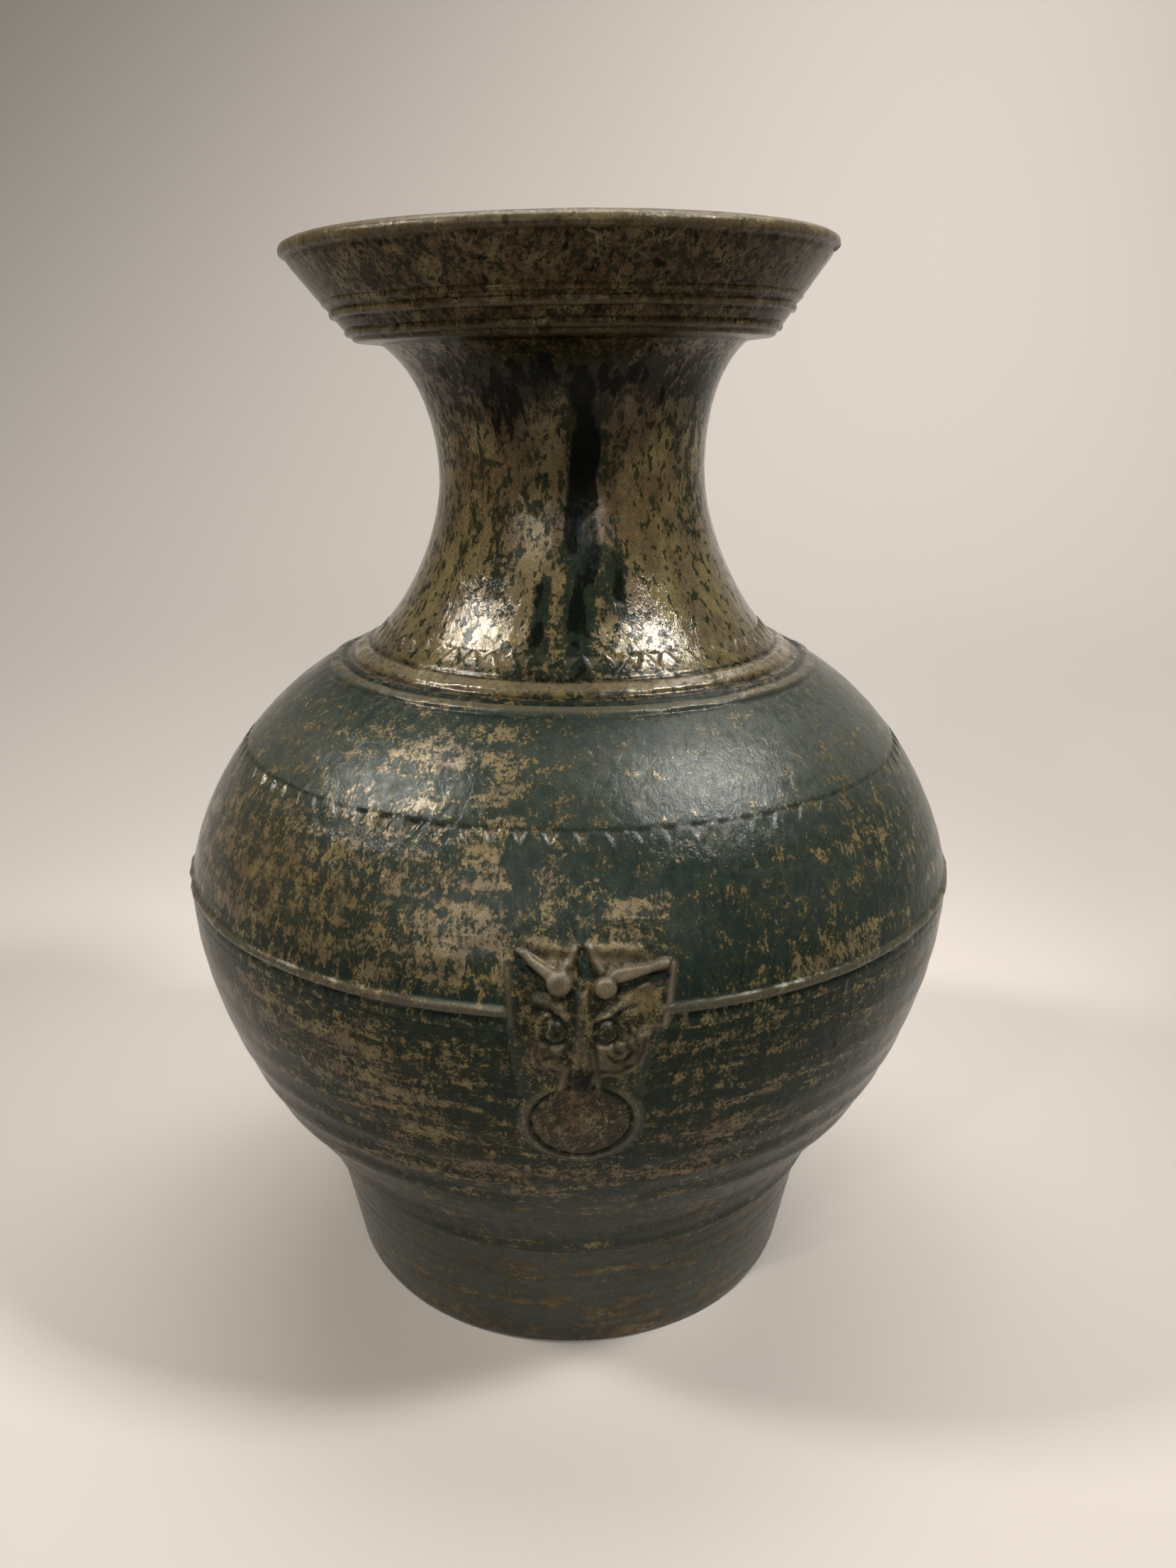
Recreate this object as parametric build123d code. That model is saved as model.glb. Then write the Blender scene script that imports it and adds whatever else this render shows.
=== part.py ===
from build123d import *

import os
from math import asin, cos, degrees, radians, sin

# A glazed pottery hu: a swelling jar on a tall foot, with a waisted neck, a dish mouth and two
# moulded ring masks. It is thrown in sections that are luted together with slip.
# Millimetres, +Z up. The origin is the centre of the standing plane, and the front faces -Y.

# Foot and base
foot_height = 52.0  # standing plane to the underside of the ledge
foot_base_radius = 92.6  # where the straight side would meet the standing plane
foot_top_radius = 102.6
foot_edge = 2.5  # rounding of the standing edge
foot_thickness = 8.5
foot_groove_height = 37.0
foot_groove_radius = 1.4
base_thickness = 10.0
base_recess = 2.5  # base disc above the standing plane

# Ledge and body
ledge_radius = 107.0
ledge_height = 6.5
ledge_slant = 1.2  # how far the ledge draws in at its lower edge
flare_radius = 119.0
flare_height = 19.5
belly_radius = 149.5
lower_body_height = 90.0
shoulder_height = 86.3
body_thickness = 8.0

# Neck
neck_root_radius = 87.0
neck_height = 66.7  # from the neck seam to the throat
throat_radius = 49.7
throat_height = 45.5  # from the throat to the dish
neck_thickness = 7.0

# Dish mouth
dish_root_radius = 66.0
dish_foot_radius = 75.4
dish_foot_rise = 1.0
rim_radius = 97.8
rim_height = 28.8  # from the foot of the dish to its widest point
lip_rise = 3.7
dish_thickness = 6.6

# Curve handles, as (outwards, upwards)
flare_start_handle = (1.5, 7.5)
flare_slope = (5.5, 6.5)
lower_body_slope = (12.4, 14.7)
belly_handle_below = (0.0, 35.9)
belly_handle_above = (0.0, 27.4)
shoulder_slope = (-34.0, 12.8)
neck_root_slope = (-18.8, 7.1)
throat_handle_below = (0.0, 23.7)
throat_handle_above = (0.0, 20.0)
dish_slope = (11.0, 8.5)

# Ridges: radius of the bead, how far its centre is sunk, and distance from the seam along the wall
bow_string_bead = 3.2
bow_string_sink = 2.2
bow_string_offset = 4.4
belly_bead = 2.0
belly_sink = 0.8
belly_bead_height = 6.0  # above the belly seam
dish_bead = 1.5
dish_bead_sink = 0.7
dish_bead_rises = (2.8, 9.8)  # above the foot of the dish

# Luted seams
seam_bevel = 25.0  # degrees below level, so that the upper section centres itself
seam_lip = 2.0  # outer edge where the two sections meet clay to clay
slip_thickness = 0.8

# Masks, as (sideways, above the belly seam), for the right half of the front mask
mask_thickness = 1.6
mask_half_outline = [(25.0, 23.0), (23.3, 12.5), (21.6, 1.0), (18.9, -10.5), (17.0, -21.0)]
mask_pad_inset = 3.0
brow_outline = [
    (22.8, 22.6), (14.0, 19.6), (7.0, 19.2), (2.8, 15.2), (7.0, 11.2), (14.0, 14.2), (21.6, 20.2)
]
brow_relief = 4.0
tuft_outline = [(0.0, 9.5), (2.2, 12.0), (1.6, 20.5), (2.4, 24.6), (0.0, 22.5)]
tuft_relief = 2.8
eye_place = (7.9, 1.6)
eye_radius = 4.4
eye_relief = 3.6
lid_outline = [(14.4, 10.2), (8.6, 9.8), (4.0, 6.8), (4.6, 5.4), (8.8, 7.4)]
lid_relief = 2.7
nose_outline = [(0.0, 8.5), (3.2, 7.9), (3.9, -13.0), (0.0, -13.6)]
nose_relief = 3.3
snout_outline = [(0.0, -11.5), (4.4, -12.4), (3.4, -22.0), (0.0, -23.5)]
snout_relief = 4.2
cheek_outline = [(5.6, -4.6), (21.0, -1.4), (18.2, -11.2), (9.3, -15.2), (5.6, -17.4)]
cheek_relief = 2.4
ring_drop = 33.0  # ring centre below the belly seam
ring_radius = 16.6  # to the middle of the ring's bar
ring_bar_radius = 2.15
ring_border = 0.6  # plaque that shows round the ring
mask_rooting = 3.0  # how deep a relief starts inside the wall before it is cut by the wall

# Heights of the seams and turning points
ledge_top = foot_height + ledge_height
flare_top = ledge_top + flare_height
belly_level = flare_top + lower_body_height
neck_seam_level = belly_level + shoulder_height
throat_level = neck_seam_level + neck_height
mouth_seam_level = throat_level + throat_height
dish_foot_level = mouth_seam_level + dish_foot_rise
rim_level = dish_foot_level + rim_height


def point(radius, height):
    return Vector(radius, 0, height)


def inwards(direction):
    # Turns a direction that runs up the outside of the wall into one through the wall.
    return Vector(-direction.Z, 0, direction.X).normalized()


def wall_curve(start, start_handle, end, end_handle):
    return [start, start + point(*start_handle), end - point(*end_handle), end]


def inner_curve(outer, start, end):
    # The inside of a wall runs as the outside does, between its own two ends.
    return [start, start + outer[1] - outer[0], end + outer[2] - outer[3], end]


def shifted_curve(outer, distance):
    # Moves a wall curve outwards, square to the wall at both ends.
    start = outer[0] - inwards(outer[1] - outer[0]) * distance
    end = outer[3] - inwards(outer[3] - outer[2]) * distance
    return inner_curve(outer, start, end)


def polygon(corners):
    return make_face(Polyline(*corners, close=True))


def bead(centre, radius):
    return Plane(centre, x_dir=(1, 0, 0), z_dir=(0, -1, 0)) * Circle(radius)


def ring_of(face):
    return revolve(face, Axis.Z)


class Seam:
    # A joint through the wall. The sections meet at the outer lip, and slip fills the rest.
    def __init__(self, outer, through, along, thickness):
        self.outer = outer
        self.lip = outer + through * seam_lip
        square = abs(through.dot(inwards(along)))
        self.below = outer + through * (thickness / square)
        self.lip_above = self.lip + along.normalized() * slip_thickness
        self.above = self.below + along.normalized() * slip_thickness

    def slip(self):
        return ring_of(polygon([self.lip, self.below, self.above, self.lip_above]))


# Outside of the wall, from the ledge up to the foot of the dish
flare = wall_curve(
    point(ledge_radius, ledge_top), flare_start_handle, point(flare_radius, flare_top), flare_slope
)
lower = wall_curve(flare[3], lower_body_slope, point(belly_radius, belly_level), belly_handle_below)
upper = wall_curve(
    lower[3], belly_handle_above, point(neck_root_radius, neck_seam_level), shoulder_slope
)
root = wall_curve(
    upper[3], neck_root_slope, point(throat_radius, throat_level), throat_handle_below
)
throat = wall_curve(
    root[3], throat_handle_above, point(dish_root_radius, mouth_seam_level), dish_slope
)

# The four seams through the wall
level_bevel = Vector(-cos(radians(seam_bevel)), 0, -sin(radians(seam_bevel)))
upright = Vector(0, 0, 1)
foot_side = point(foot_top_radius - foot_base_radius, foot_height)
foot_seam = Seam(point(foot_top_radius, foot_height), level_bevel, upright, foot_thickness)
belly_seam = Seam(lower[3], level_bevel, upright, body_thickness)
neck_seam = Seam(upper[3], inwards(point(*shoulder_slope)), point(*shoulder_slope), body_thickness)
mouth_seam = Seam(throat[3], inwards(point(*dish_slope)), point(*dish_slope), neck_thickness)


def foot_inside(height):
    # A point on the inner face of the foot wall, which is parallel to its outer face.
    top = foot_seam.below
    return top - foot_side * ((top.Z - height) / foot_side.Z)


def make_foot_wall():
    outline = Polyline(
        point(foot_base_radius, 0), foot_seam.outer, foot_seam.lip, foot_seam.below, foot_inside(0),
        close=True,
    )
    face = make_face(outline)
    standing_edge = face.vertices().sort_by_distance(point(foot_base_radius, 0))[0]
    face = fillet(standing_edge, foot_edge)
    groove_centre = point(foot_base_radius, 0) + foot_side * (foot_groove_height / foot_side.Z)
    groove_centre = groove_centre - inwards(foot_side) * (foot_groove_radius / 2)
    return ring_of(face - bead(groove_centre, foot_groove_radius))


def make_base():
    # The disc wedges in the taper of the foot wall, on a bed of slip.
    base_top = base_recess + base_thickness
    low = foot_inside(base_recess)
    high = foot_inside(base_top)
    slip_width = point(slip_thickness, 0)
    inner_low = low - slip_width
    inner_high = high - slip_width
    disc = polygon([point(0, base_recess), inner_low, inner_high, point(0, base_top)])
    bed = polygon([inner_low, low, high, inner_high])
    return ring_of(disc), ring_of(bed)


def make_lower_body():
    inner_turn = flare[3] + inwards(point(*lower_body_slope)) * body_thickness
    inner_flare = inner_curve(flare, foot_seam.above, inner_turn)
    inner_lower = inner_curve(lower, inner_turn, belly_seam.below)
    ledge_lower_edge = point(ledge_radius - ledge_slant, foot_height)
    edges = [
        Polyline(foot_seam.outer, ledge_lower_edge, flare[0]),
        Bezier(*flare),
        Bezier(*lower),
        Polyline(belly_seam.outer, belly_seam.lip, belly_seam.below),
        Bezier(*inner_lower),
        Bezier(*inner_flare),
        Polyline(foot_seam.above, foot_seam.lip_above, foot_seam.lip, foot_seam.outer),
    ]
    return ring_of(make_face(edges))


def make_shoulder():
    edges = [
        Bezier(*upper),
        Polyline(neck_seam.outer, neck_seam.lip, neck_seam.below),
        Bezier(*inner_curve(upper, belly_seam.above, neck_seam.below)),
        Polyline(belly_seam.above, belly_seam.lip_above, belly_seam.lip, belly_seam.outer),
    ]
    slope = point(*shoulder_slope).normalized()
    crest = neck_seam.outer - slope * bow_string_offset + inwards(slope) * bow_string_sink
    return ring_of(make_face(edges) + bead(crest, bow_string_bead))


def make_neck():
    throat_inside = root[3] + inwards(upright) * neck_thickness
    edges = [
        Bezier(*root),
        Bezier(*throat),
        Polyline(mouth_seam.outer, mouth_seam.lip, mouth_seam.below),
        Bezier(*inner_curve(throat, throat_inside, mouth_seam.below)),
        Bezier(*inner_curve(root, neck_seam.above, throat_inside)),
        Polyline(neck_seam.above, neck_seam.lip_above, neck_seam.lip, neck_seam.outer),
    ]
    slope = point(*neck_root_slope).normalized()
    crest = neck_seam.outer + slope * bow_string_offset + inwards(slope) * bow_string_sink
    return ring_of(make_face(edges) + bead(crest, bow_string_bead))


def make_mouth_dish():
    foot = point(dish_foot_radius, dish_foot_level)
    rim = point(rim_radius, rim_level)
    side = (rim - foot).normalized()
    floor_square = inwards(foot - mouth_seam.outer)
    side_square = inwards(side)
    mitre = (floor_square + side_square) * (dish_thickness / (1 + floor_square.dot(side_square)))
    inner_corner = foot + mitre
    inner_rim = rim + side_square * dish_thickness
    inner_rim = inner_rim + side * ((rim.Z - inner_rim.Z) / side.Z)
    crest = (rim + inner_rim) * 0.5 + upright * lip_rise
    edges = [
        Polyline(mouth_seam.lip, mouth_seam.outer, foot, rim),
        ThreePointArc(rim, crest, inner_rim),
        Polyline(inner_rim, inner_corner, mouth_seam.above, mouth_seam.lip_above, mouth_seam.lip),
    ]
    face = make_face(edges)
    for rise in dish_bead_rises:
        face = face + bead(foot + side * (rise / side.Z) + side_square * dish_bead_sink, dish_bead)
    return ring_of(face)


def wall_layer(relief):
    # A skin over the body, from inside the wall to the given height above it.
    rooted = [shifted_curve(lower, -mask_rooting), shifted_curve(upper, -mask_rooting)]
    raised = [shifted_curve(lower, relief), shifted_curve(upper, relief)]
    edges = [
        Bezier(*raised[0]),
        Bezier(*raised[1]),
        Line(raised[1][3], rooted[1][3]),
        Bezier(*rooted[1]),
        Bezier(*rooted[0]),
        Line(rooted[0][0], raised[0][0]),
    ]
    return ring_of(make_face(edges))


def wall_radius(height):
    # Outer radius of the lower body at a height, found by halving the curve.
    curve = Bezier(*lower)
    low, high = 0.0, 1.0
    while high - low > 1e-6:
        middle = (low + high) / 2
        if (curve @ middle).Z < height:
            low = middle
        else:
            high = middle
    return curve @ low, curve % low


def right_and_left(sketch):
    return sketch + mirror(sketch, Plane.YZ)


def rounded_shape(outline):
    return make_face(Spline(*outline, periodic=True))


def mask_ring_plan():
    return Pos(0, -ring_drop) * Circle(ring_radius + ring_bar_radius + ring_border)


def plaque_plan():
    left_side = [(-x, z) for x, z in reversed(mask_half_outline)]
    return polygon([*mask_half_outline, *left_side]) + mask_ring_plan()


def raised(plan, relief):
    # A plan drawn on the front of the jar, raised off the wall by the relief.
    front = Plane.XZ * Pos(0, belly_level) * plan
    return extrude(front, amount=belly_radius + relief, dir=(0, -1, 0)) & wall_layer(relief)


def mask_ring():
    seat, slope = wall_radius(belly_level - ring_drop)
    lean = degrees(asin(slope.X))
    place = Pos(0, -seat.X - mask_thickness / 2, seat.Z) * Rot(X=90 + lean)
    return place * Torus(ring_radius, ring_bar_radius)


def make_mask(wall, pad):
    plans = [
        (plaque_plan(), mask_thickness),
        (right_and_left(rounded_shape(brow_outline)), brow_relief),
        (right_and_left(polygon(tuft_outline)), tuft_relief),
        (right_and_left(Pos(*eye_place) * Circle(eye_radius)), eye_relief),
        (right_and_left(rounded_shape(lid_outline)), lid_relief),
        (right_and_left(polygon(cheek_outline)), cheek_relief),
        (right_and_left(polygon(nose_outline)), nose_relief),
        (right_and_left(polygon(snout_outline)), snout_relief),
    ]
    mask = mask_ring()
    for plan, relief in plans:
        mask = mask + raised(plan, relief)
    return mask - wall - pad


def make_belly_ridge():
    # The ridge runs from mask to mask, and stops just under their edges.
    height = belly_level + belly_bead_height
    half_width = mask_half_outline[1][0] - mask_pad_inset / 2
    hidden = degrees(asin(half_width / belly_radius))
    curve = Bezier(*upper)
    centre = Vector(curve.intersect(Plane.XY.offset(height)).vertices()[0])
    section = bead(centre - point(belly_sink, 0), belly_bead)
    half = revolve(Rot(Z=hidden - 90) * section, Axis.Z, 180 - 2 * hidden)
    return half + Rot(Z=180) * half


def main():
    os.makedirs("parts", exist_ok=True)
    base_disc, base_slip = make_base()
    lower_body = make_lower_body()
    shoulder = make_shoulder() + make_belly_ridge()
    belly_slip = belly_seam.slip()
    wall = [lower_body, shoulder, belly_slip]
    pad = raised(offset(plaque_plan(), -mask_pad_inset), slip_thickness) - wall
    mask = make_mask(wall, pad)
    nodes = {
        "mouth_dish": make_mouth_dish(),
        "mouth_slip": mouth_seam.slip(),
        "neck": make_neck(),
        "neck_slip": neck_seam.slip(),
        "shoulder": shoulder,
        "belly_slip": belly_slip,
        "lower_body": lower_body,
        "foot_slip": foot_seam.slip(),
        "foot_wall": make_foot_wall(),
        "base_slip": base_slip,
        "base_disc": base_disc,
        "front_mask": mask,
        "front_mask_slip": pad,
        "rear_mask": Rot(Z=180) * mask,
        "rear_mask_slip": Rot(Z=180) * pad,
    }
    for name, shape in nodes.items():
        export_step(shape, f"parts/{name}.step")
        print(name, len(shape.solids()), "solid", round(shape.volume / 1000, 1), "cm3")


main()
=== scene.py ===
import math

import bmesh
import bpy
import numpy as np
from mathutils import Matrix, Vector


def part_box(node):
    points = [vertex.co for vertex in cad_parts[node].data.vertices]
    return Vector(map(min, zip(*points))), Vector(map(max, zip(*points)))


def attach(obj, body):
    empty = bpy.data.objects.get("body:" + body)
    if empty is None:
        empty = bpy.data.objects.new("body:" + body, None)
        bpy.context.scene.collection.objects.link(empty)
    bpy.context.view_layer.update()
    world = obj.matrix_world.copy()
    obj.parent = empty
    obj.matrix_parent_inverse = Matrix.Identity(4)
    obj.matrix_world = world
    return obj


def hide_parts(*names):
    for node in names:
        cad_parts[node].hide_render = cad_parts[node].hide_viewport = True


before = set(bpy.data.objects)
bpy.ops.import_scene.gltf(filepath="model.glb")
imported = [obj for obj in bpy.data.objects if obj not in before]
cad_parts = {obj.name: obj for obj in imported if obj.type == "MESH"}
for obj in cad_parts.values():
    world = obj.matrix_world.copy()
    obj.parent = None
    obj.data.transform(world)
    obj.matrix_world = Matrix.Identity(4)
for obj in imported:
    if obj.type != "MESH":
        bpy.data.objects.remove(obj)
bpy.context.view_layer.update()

# Glazed pottery hu: sections thrown on a wheel, pressed bands, two moulded ring masks.
# Metres, the front mask faces -Y, everything in the frame's own place.
scene = bpy.context.scene


# small maths

def smooth(low, high, value):
    t = np.clip((value - low) / (high - low), 0, 1)
    return t * t * (3 - 2 * t)


def point(radius, height):
    return np.array((radius, height), float)


def unit(vector):
    return vector / np.hypot(*vector)


def inwards(along):
    return unit(point(-along[1], along[0]))


def curveRun(start, startHandle, end, endHandle, steps=200):
    t = np.linspace(0, 1, steps)[:, None]
    a, d = np.array(start, float), np.array(end, float)
    b, c = a + startHandle, d - endHandle
    return (1 - t) ** 3 * a + 3 * (1 - t) ** 2 * t * b + 3 * (1 - t) * t ** 2 * c + t ** 3 * d


def lineRun(*points, steps=60):
    return np.concatenate([np.linspace(a, b, steps) for a, b in zip(points, points[1:])])


def lengthAlong(run):
    return np.concatenate([[0], np.cumsum(np.hypot(*np.diff(run[:, :2], axis=0).T))])


def resample(run, wanted):
    s = lengthAlong(run)
    return np.stack([np.interp(wanted, s, run[:, k]) for k in range(run.shape[1])], 1)


def evenRun(run, step):
    total = lengthAlong(run)[-1]
    return resample(run, np.linspace(0, total, max(2, round(total / step) + 1)))


def blurred(values, sigma):
    # gaussian along the first axis, with the ends carried on
    reach = int(sigma * 3) + 1
    kernel = np.exp(-0.5 * (np.arange(-reach, reach + 1) / sigma) ** 2)
    kernel /= kernel.sum()
    table = values.reshape(len(values), -1)
    before = 2 * table[0] - table[reach:0:-1]
    after = 2 * table[-1] - table[-2:-reach - 2:-1]
    padded = np.concatenate([before, table, after])
    out = np.stack([np.convolve(padded[:, k], kernel, "valid") for k in range(table.shape[1])], 1)
    return out.reshape(values.shape)


# sizes of the wall

footSizes = {
    "height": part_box("foot_wall")[1].z,
    "baseRadius": 0.0926,
    "topRadius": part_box("foot_wall")[1].x,
    "edge": 0.0025,
    "thickness": 0.0085,
    "discLow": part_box("base_disc")[0].z,
    "discHigh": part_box("base_disc")[1].z,
}
bodySizes = {
    "ledgeRadius": 0.107,
    "ledgeRise": 0.0065,
    "ledgeSlant": 0.0012,
    "softMiddle": 0.004,      # the ledge is soft round this level over the foot
    "softReach": 0.010,
    "flareRadius": 0.119,
    "flareRise": 0.0195,
    "flareStart": (0.0015, 0.0075),
    "flareSlope": (0.0055, 0.0065),
    "lowerSlope": (0.0124, 0.0147),
    "bellyRadius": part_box("lower_body")[1].x,
    "bellyLevel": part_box("lower_body")[1].z,
    "bellyBelow": (0, 0.0359),
    "bellyAbove": (0, 0.0274),
    "shoulderRise": 0.0863,
    "shoulderSlope": (-0.0340, 0.0128),
    "thickness": 0.008,
}
neckSizes = {
    "rootRadius": 0.087,
    "rootSlope": (-0.0188, 0.0071),
    "throatRadius": 0.0497,
    "throatRise": 0.0667,
    "throatBelow": (0, 0.0237),
    "throatAbove": (0, 0.020),
    "topRise": 0.0455,
    "topRadius": 0.066,
    "topSlope": (0.011, 0.0085),
    "thickness": 0.007,
}
dishSizes = {
    "footRadius": 0.0754,
    "footRise": 0.001,
    "rimRadius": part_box("mouth_dish")[1].x,
    "rimRise": 0.0288,
    "lipRise": 0.0037,
    "lipStart": (0.0003, 0.0020),
    "lipEnd": (-0.0002, -0.0020),
    "lipEase": 0.28,          # share of the lip's width
    "thickness": 0.0066,
}
seamSizes = {"bevel": math.radians(25), "lip": 0.002, "slip": 0.0008, "drawnBack": 0.1}
beads = [   # level up the jar, proud of the wall, half its width, squareness, grooves cut above and below it
    {"level": 0.2570, "proud": 0.0010, "half": 0.0027, "square": 6, "above": 0.0005, "below": 0.0003},
    {"level": 0.2523, "proud": 0.0009, "half": 0.0021, "square": 6, "above": 0.0004, "below": 0.0003},
    {"level": 0.1745, "proud": 0.0012, "half": 0.0017, "square": 3, "above": 0.0001, "below": 0.0006},
    {"level": 0.3703, "proud": 0.0008, "half": 0.0012, "square": 3, "above": 0.0004, "below": 0.0002},
    {"level": 0.3765, "proud": 0.0009, "half": 0.0012, "square": 3, "above": 0.0004, "below": 0.0003},
    {"level": 0.3800, "proud": 0.0003, "half": 0.0008, "square": 3, "above": 0.0003, "below": 0.0001},
    {"level": 0.3970, "proud": 0.0004, "half": 0.0022, "square": 4, "above": 0.0, "below": 0.0004},
    {"level": 0.0370, "proud": -0.0002, "half": 0.0013, "square": 3, "above": 0.0, "below": 0.0},
]
bellyBead = 2                 # the one that stops at the masks
fineStep = 0.0001             # spacing of the worked profile
cornerSteps = 5               # corners are rounded over this many fine steps
ledgeSteps = 26               # and the soft ledge over the foot over this many
grooveAt, grooveWide = 1.4, 0.35   # middle and width of a bead's grooves, in half widths of the bead
crestRise = 0.0006            # a crest this high is worn as thin as it gets
cornerRise = 0.0000025        # what a convex turn of one radian per metre adds to a crest

# turning points and seams
f, b, n, d = footSizes, bodySizes, neckSizes, dishSizes
footTop = point(f["topRadius"], f["height"])
footSide = footTop - point(f["baseRadius"], 0)
ledge = point(b["ledgeRadius"], f["height"] + b["ledgeRise"])
flareTop = point(b["flareRadius"], ledge[1] + b["flareRise"])
belly = point(b["bellyRadius"], b["bellyLevel"])
neckRoot = point(n["rootRadius"], belly[1] + b["shoulderRise"])
throat = point(n["throatRadius"], neckRoot[1] + n["throatRise"])
neckTop = point(n["topRadius"], throat[1] + n["topRise"])
dishFoot = point(d["footRadius"], neckTop[1] + d["footRise"])
rim = point(d["rimRadius"], dishFoot[1] + d["rimRise"])
dishSide = unit(rim - dishFoot)
upright = point(0, 1)


def seamAt(outer, through, along, thickness):
    lip = outer + through * seamSizes["lip"]
    below = outer + through * thickness / abs(through @ inwards(along))
    rise = unit(along) * seamSizes["slip"]
    return {"lip": lip, "below": below, "above": below + rise, "lipAbove": lip + rise}


bevel = point(-math.cos(seamSizes["bevel"]), -math.sin(seamSizes["bevel"]))
footSeam = seamAt(footTop, bevel, upright, f["thickness"])
bellySeam = seamAt(belly, bevel, upright, b["thickness"])
neckSeam = seamAt(neckRoot, inwards(b["shoulderSlope"]), point(*b["shoulderSlope"]), b["thickness"])
mouthSeam = seamAt(neckTop, inwards(n["topSlope"]), point(*n["topSlope"]), n["thickness"])


def footInside(height):
    return footSeam["below"] - footSide * ((footSeam["below"][1] - height) / footSide[1])


# outside of the jar, one run for each thrown section
lipInside = rim + inwards(dishSide) * d["thickness"]
lipInside = lipInside + dishSide * ((rim[1] - lipInside[1]) / dishSide[1])
lipCrest = (rim + lipInside) / 2 + (0, d["lipRise"])
lipAcross = (rim[0] - lipInside[0]) * d["lipEase"]
footLow = point(f["baseRadius"], 0) + footSide * (f["edge"] / footSide[1])
outsideRuns = {
    "foot_wall": np.concatenate([
        curveRun((f["baseRadius"] - f["edge"], 0), (f["edge"] * 0.6, 0), footLow,
                 footSide * (f["edge"] * 0.6 / footSide[1]), 30),
        lineRun(footLow, footTop),
    ]),
    "lower_body": np.concatenate([
        lineRun(footTop, (b["ledgeRadius"] - b["ledgeSlant"], f["height"]), ledge),
        curveRun(ledge, b["flareStart"], flareTop, b["flareSlope"]),
        curveRun(flareTop, b["lowerSlope"], belly, b["bellyBelow"]),
    ]),
    "shoulder": curveRun(belly, b["bellyAbove"], neckRoot, b["shoulderSlope"]),
    "neck": np.concatenate([
        curveRun(neckRoot, n["rootSlope"], throat, n["throatBelow"]),
        curveRun(throat, n["throatAbove"], neckTop, n["topSlope"]),
    ]),
    "mouth_dish": np.concatenate([
        lineRun(neckTop, dishFoot, rim),
        curveRun(rim, d["lipStart"], lipCrest, (-lipAcross, 0), 30),
    ]),
}
flareInside = flareTop + inwards(point(*b["lowerSlope"])) * b["thickness"]
throatInside = throat - (n["thickness"], 0)
floorAcross = inwards(dishFoot - neckTop)
sideAcross = inwards(dishSide)
dishCorner = dishFoot + (floorAcross + sideAcross) * (d["thickness"] / (1 + floorAcross @ sideAcross))
insideRuns = {                # each goes down the inside, from its upper seam to its lower one
    "foot_wall": lineRun(footSeam["below"], footInside(0), steps=30),
    "lower_body": np.concatenate([
        curveRun(footSeam["above"], b["flareStart"], flareInside, b["flareSlope"], 20),
        curveRun(flareInside, b["lowerSlope"], bellySeam["below"], b["bellyBelow"], 40),
    ])[::-1],
    "shoulder": curveRun(bellySeam["above"], b["bellyAbove"],
                         neckSeam["below"], b["shoulderSlope"], 40)[::-1],
    "neck": np.concatenate([
        curveRun(neckSeam["above"], n["rootSlope"], throatInside, n["throatBelow"], 40),
        curveRun(throatInside, n["throatAbove"], mouthSeam["below"], n["topSlope"], 40),
    ])[::-1],
    "mouth_dish": np.concatenate([
        curveRun(lipCrest, (-lipAcross, 0), lipInside, d["lipEnd"], 20),
        lineRun(lipInside, dishCorner, mouthSeam["above"], steps=40),
    ]),
}
lowerEnds = {"lower_body": footSeam, "shoulder": bellySeam, "neck": neckSeam, "mouth_dish": mouthSeam}
upperEnds = {"foot_wall": footSeam, "lower_body": bellySeam, "shoulder": neckSeam, "neck": mouthSeam}
profileFields = ["radius", "height", "liftR", "liftZ", "crest", "bead", "ridge", "outer"]


def workOutside():
    # beads, grooves and rounded corners on the whole outside at once, so that sections meet
    runs = {name: evenRun(run, fineStep) for name, run in outsideRuns.items()}
    ends = np.cumsum([0] + [len(run) for run in runs.values()])
    raw = np.concatenate(list(runs.values()))
    nearLedge = np.exp(-((raw[:, 1:] - f["height"] - b["softMiddle"]) / b["softReach"]) ** 4)
    plain = blurred(raw, cornerSteps) * (1 - nearLedge) + blurred(raw, ledgeSteps) * nearLedge
    along = blurred(np.gradient(plain, axis=0), 4)
    along /= np.linalg.norm(along, axis=1)[:, None]
    out = np.stack([along[:, 1], -along[:, 0]], 1)
    s = lengthAlong(plain)
    rise, ridge = np.zeros(len(plain)), np.zeros(len(plain))
    for k, bead in enumerate(beads):
        centre = s[np.argmin(np.abs(plain[:, 1] - bead["level"]) + (along[:, 1] < 0.05))]
        t = (s - centre) / bead["half"]
        above = np.exp(-((t - grooveAt) / grooveWide) ** 2)
        below = np.exp(-((t + grooveAt) / grooveWide) ** 2)
        shape = bead["proud"] * np.exp(-np.abs(t) ** bead["square"])
        shape -= bead["above"] * above + bead["below"] * below
        rise += shape
        if k == bellyBead:
            ridge = shape
    worked = plain + out * rise[:, None]
    crown = blurred(rise, 6) - blurred(rise, 70)            # positive on crests, negative in grooves
    turn = np.gradient(np.unwrap(np.arctan2(along[:, 1], along[:, 0]))) / fineStep
    corner = blurred(turn, 12) * cornerRise                 # convex turns count as crests too
    crest = np.clip((crown + corner) / crestRise, -1, 1)
    table = np.column_stack([worked, out, crest, rise, ridge, np.ones(len(plain))])
    bare = np.column_stack([plain, out])
    return {name: table[lo:hi] for name, lo, hi in zip(runs, ends, ends[1:])}, bare


outside, bareWall = workOutside()
print("profile worked", {name: len(run) for name, run in outside.items()})


# node helpers, for geometry and shader trees alike

def link(tree, value, socket):
    if isinstance(value, bpy.types.NodeSocket):
        tree.links.new(value, socket)
    elif value is not None:
        socket.default_value = value


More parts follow.
